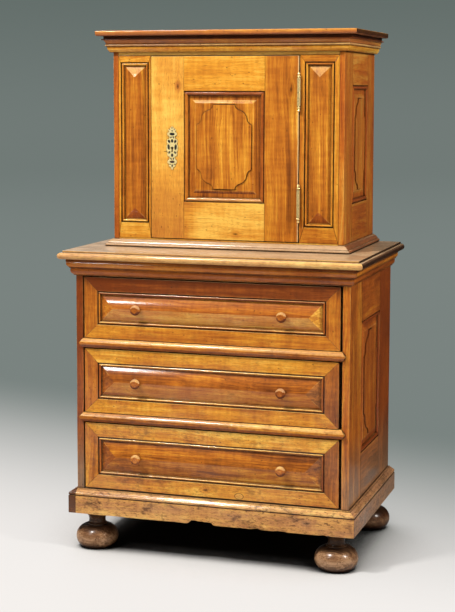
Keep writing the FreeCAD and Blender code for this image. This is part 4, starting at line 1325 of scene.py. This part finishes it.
def studio_floor():
    """A pale floor that goes over into the grey of the background behind the piece and far from it.

    The camera sees it evened out, so that the lamps cast no hard shadows on it. Under and close to the
    piece it is painted dark, as its shadow.
    """
    material, shade = new_material("studio_floor")
    place = shade.add("TexCoord", out="Object")
    right, back = FLOOR_WAY_BACK
    behind = place.part(0) * right + place.part(1) * back
    far = behind.rise(*FLOOR_FADE)
    far = far.maths("MAXIMUM", far, length_of(place).rise(*FLOOR_RIM))
    # Ambient occlusion paints the floor dark under the piece, as its shadow.
    clear = crevice(shade, FLOOR_SHADE_REACH, FLOOR_SHADE_SAMPLES)
    under = clear.rise(0.28, 0.60)
    far = far * under
    lit = shade.add("BsdfDiffuse", {"Color": under.mix(FLOOR_SHADOW, FLOOR_PALE)})
    even = shade.add("Emission", {"Color": under.mix(FLOOR_SHADOW, FLOOR_SEEN)})
    camera_ray = shade.add("LightPath", out="Is Camera Ray")
    evened = camera_ray * clear.rise(0.5, 0.9) * FLOOR_EVENED
    pale = shade.add("MixShader", {0: evened, 1: lit, 2: even})
    backdrop = length_of(place).rise(*BACKDROP_REACH).mix(BACKGROUND_LOW, BACKGROUND)
    mirrored = shade.add("LightPath", out="Is Glossy Ray")
    grey = shade.add("Emission", {"Color": (mirrored * MIRROR_DIMMED).mix(backdrop, NO_LIGHT)})
    mixed = shade.add("MixShader", {0: far, 1: pale, 2: grey})
    shade.add("OutputMaterial", {"Surface": mixed})
    shape = bmesh.new()
    bmesh.ops.create_circle(shape, cap_ends=True, segments=96, radius=FLOOR_RADIUS)
    mesh = bpy.data.meshes.new("studio_floor")
    shape.to_mesh(mesh)
    shape.free()
    mesh.materials.append(material)
    floor = bpy.data.objects.new("studio_floor", mesh)
    bpy.context.scene.collection.objects.link(floor)


def studio_world():
    """Soft light from all round, with a plain grey background where it is seen or mirrored."""
    world = bpy.data.worlds.new("studio")
    world.use_nodes = True
    world.node_tree.nodes.clear()
    shade = Shade(world.node_tree, None)
    camera_ray = shade.add("LightPath", out="Is Camera Ray")
    glossy_ray = shade.add("LightPath", out="Is Glossy Ray")
    seen = camera_ray.maths("MAXIMUM", camera_ray, glossy_ray)
    height = shade.add("TexCoord", out="Generated").part(2)
    soft = height.rise(0.0, 0.9).mix(SKY_LOW, SKY_HIGH)
    backdrop = height.rise(-0.03, 0.10).mix(BACKGROUND, BACKGROUND_HIGH)
    backdrop = (glossy_ray * MIRROR_DIMMED).mix(backdrop, NO_LIGHT)
    light = shade.add("Background", {"Color": seen.mix(soft, backdrop)})
    shade.add("OutputWorld", {"Surface": light})
    bpy.context.scene.world = world


def photo_camera():
    """The camera that took the photograph."""
    data = bpy.data.cameras.new("photo_camera")
    data.sensor_fit = "VERTICAL"
    data.sensor_height = SENSOR
    data.lens = FOCAL_PIXELS / PHOTO_HEIGHT * SENSOR
    data.shift_y = -SHIFT_PIXELS / PHOTO_HEIGHT
    camera = bpy.data.objects.new("photo_camera", data)
    turn = Euler((math.radians(90 + CAMERA_PITCH), 0, math.radians(CAMERA_YAW))).to_matrix()
    roll = Euler((0, 0, math.radians(CAMERA_ROLL))).to_matrix()
    camera.rotation_euler = (turn @ roll).to_euler()
    camera.location = CAMERA_PLACE
    bpy.context.scene.collection.objects.link(camera)
    bpy.context.scene.camera = camera


photo_camera()
studio_world()
studio_floor()
black_flag()
area_light("key", (-2.01, -2.99, 5.46), AIM, (0.6, 0.6), 375, WARM_LAMP)
area_light("front_strip", (-2.0, -3.5, 3.05), AIM, (0.5, 0.3), 42, WARM_LAMP)
area_light("floor_bounce", (0.3, -2.0, 0.03), (0.3, -2.0, 1.0), (3.0, 1.8), 16, mirrored=False)
area_light("overhead", (0, 0.2, 3.9), AIM, (2.2, 1.2), 12)
area_light("right_fill", (3.4, -1.1, 3.0), AIM, (0.5, 1.0), 135, WARMER_LAMP)
area_light("back_fill", (-1.8, 3.4, 3.2), AIM, (2.0, 2.0), 40)
bpy.context.scene.view_settings.view_transform = "Standard"
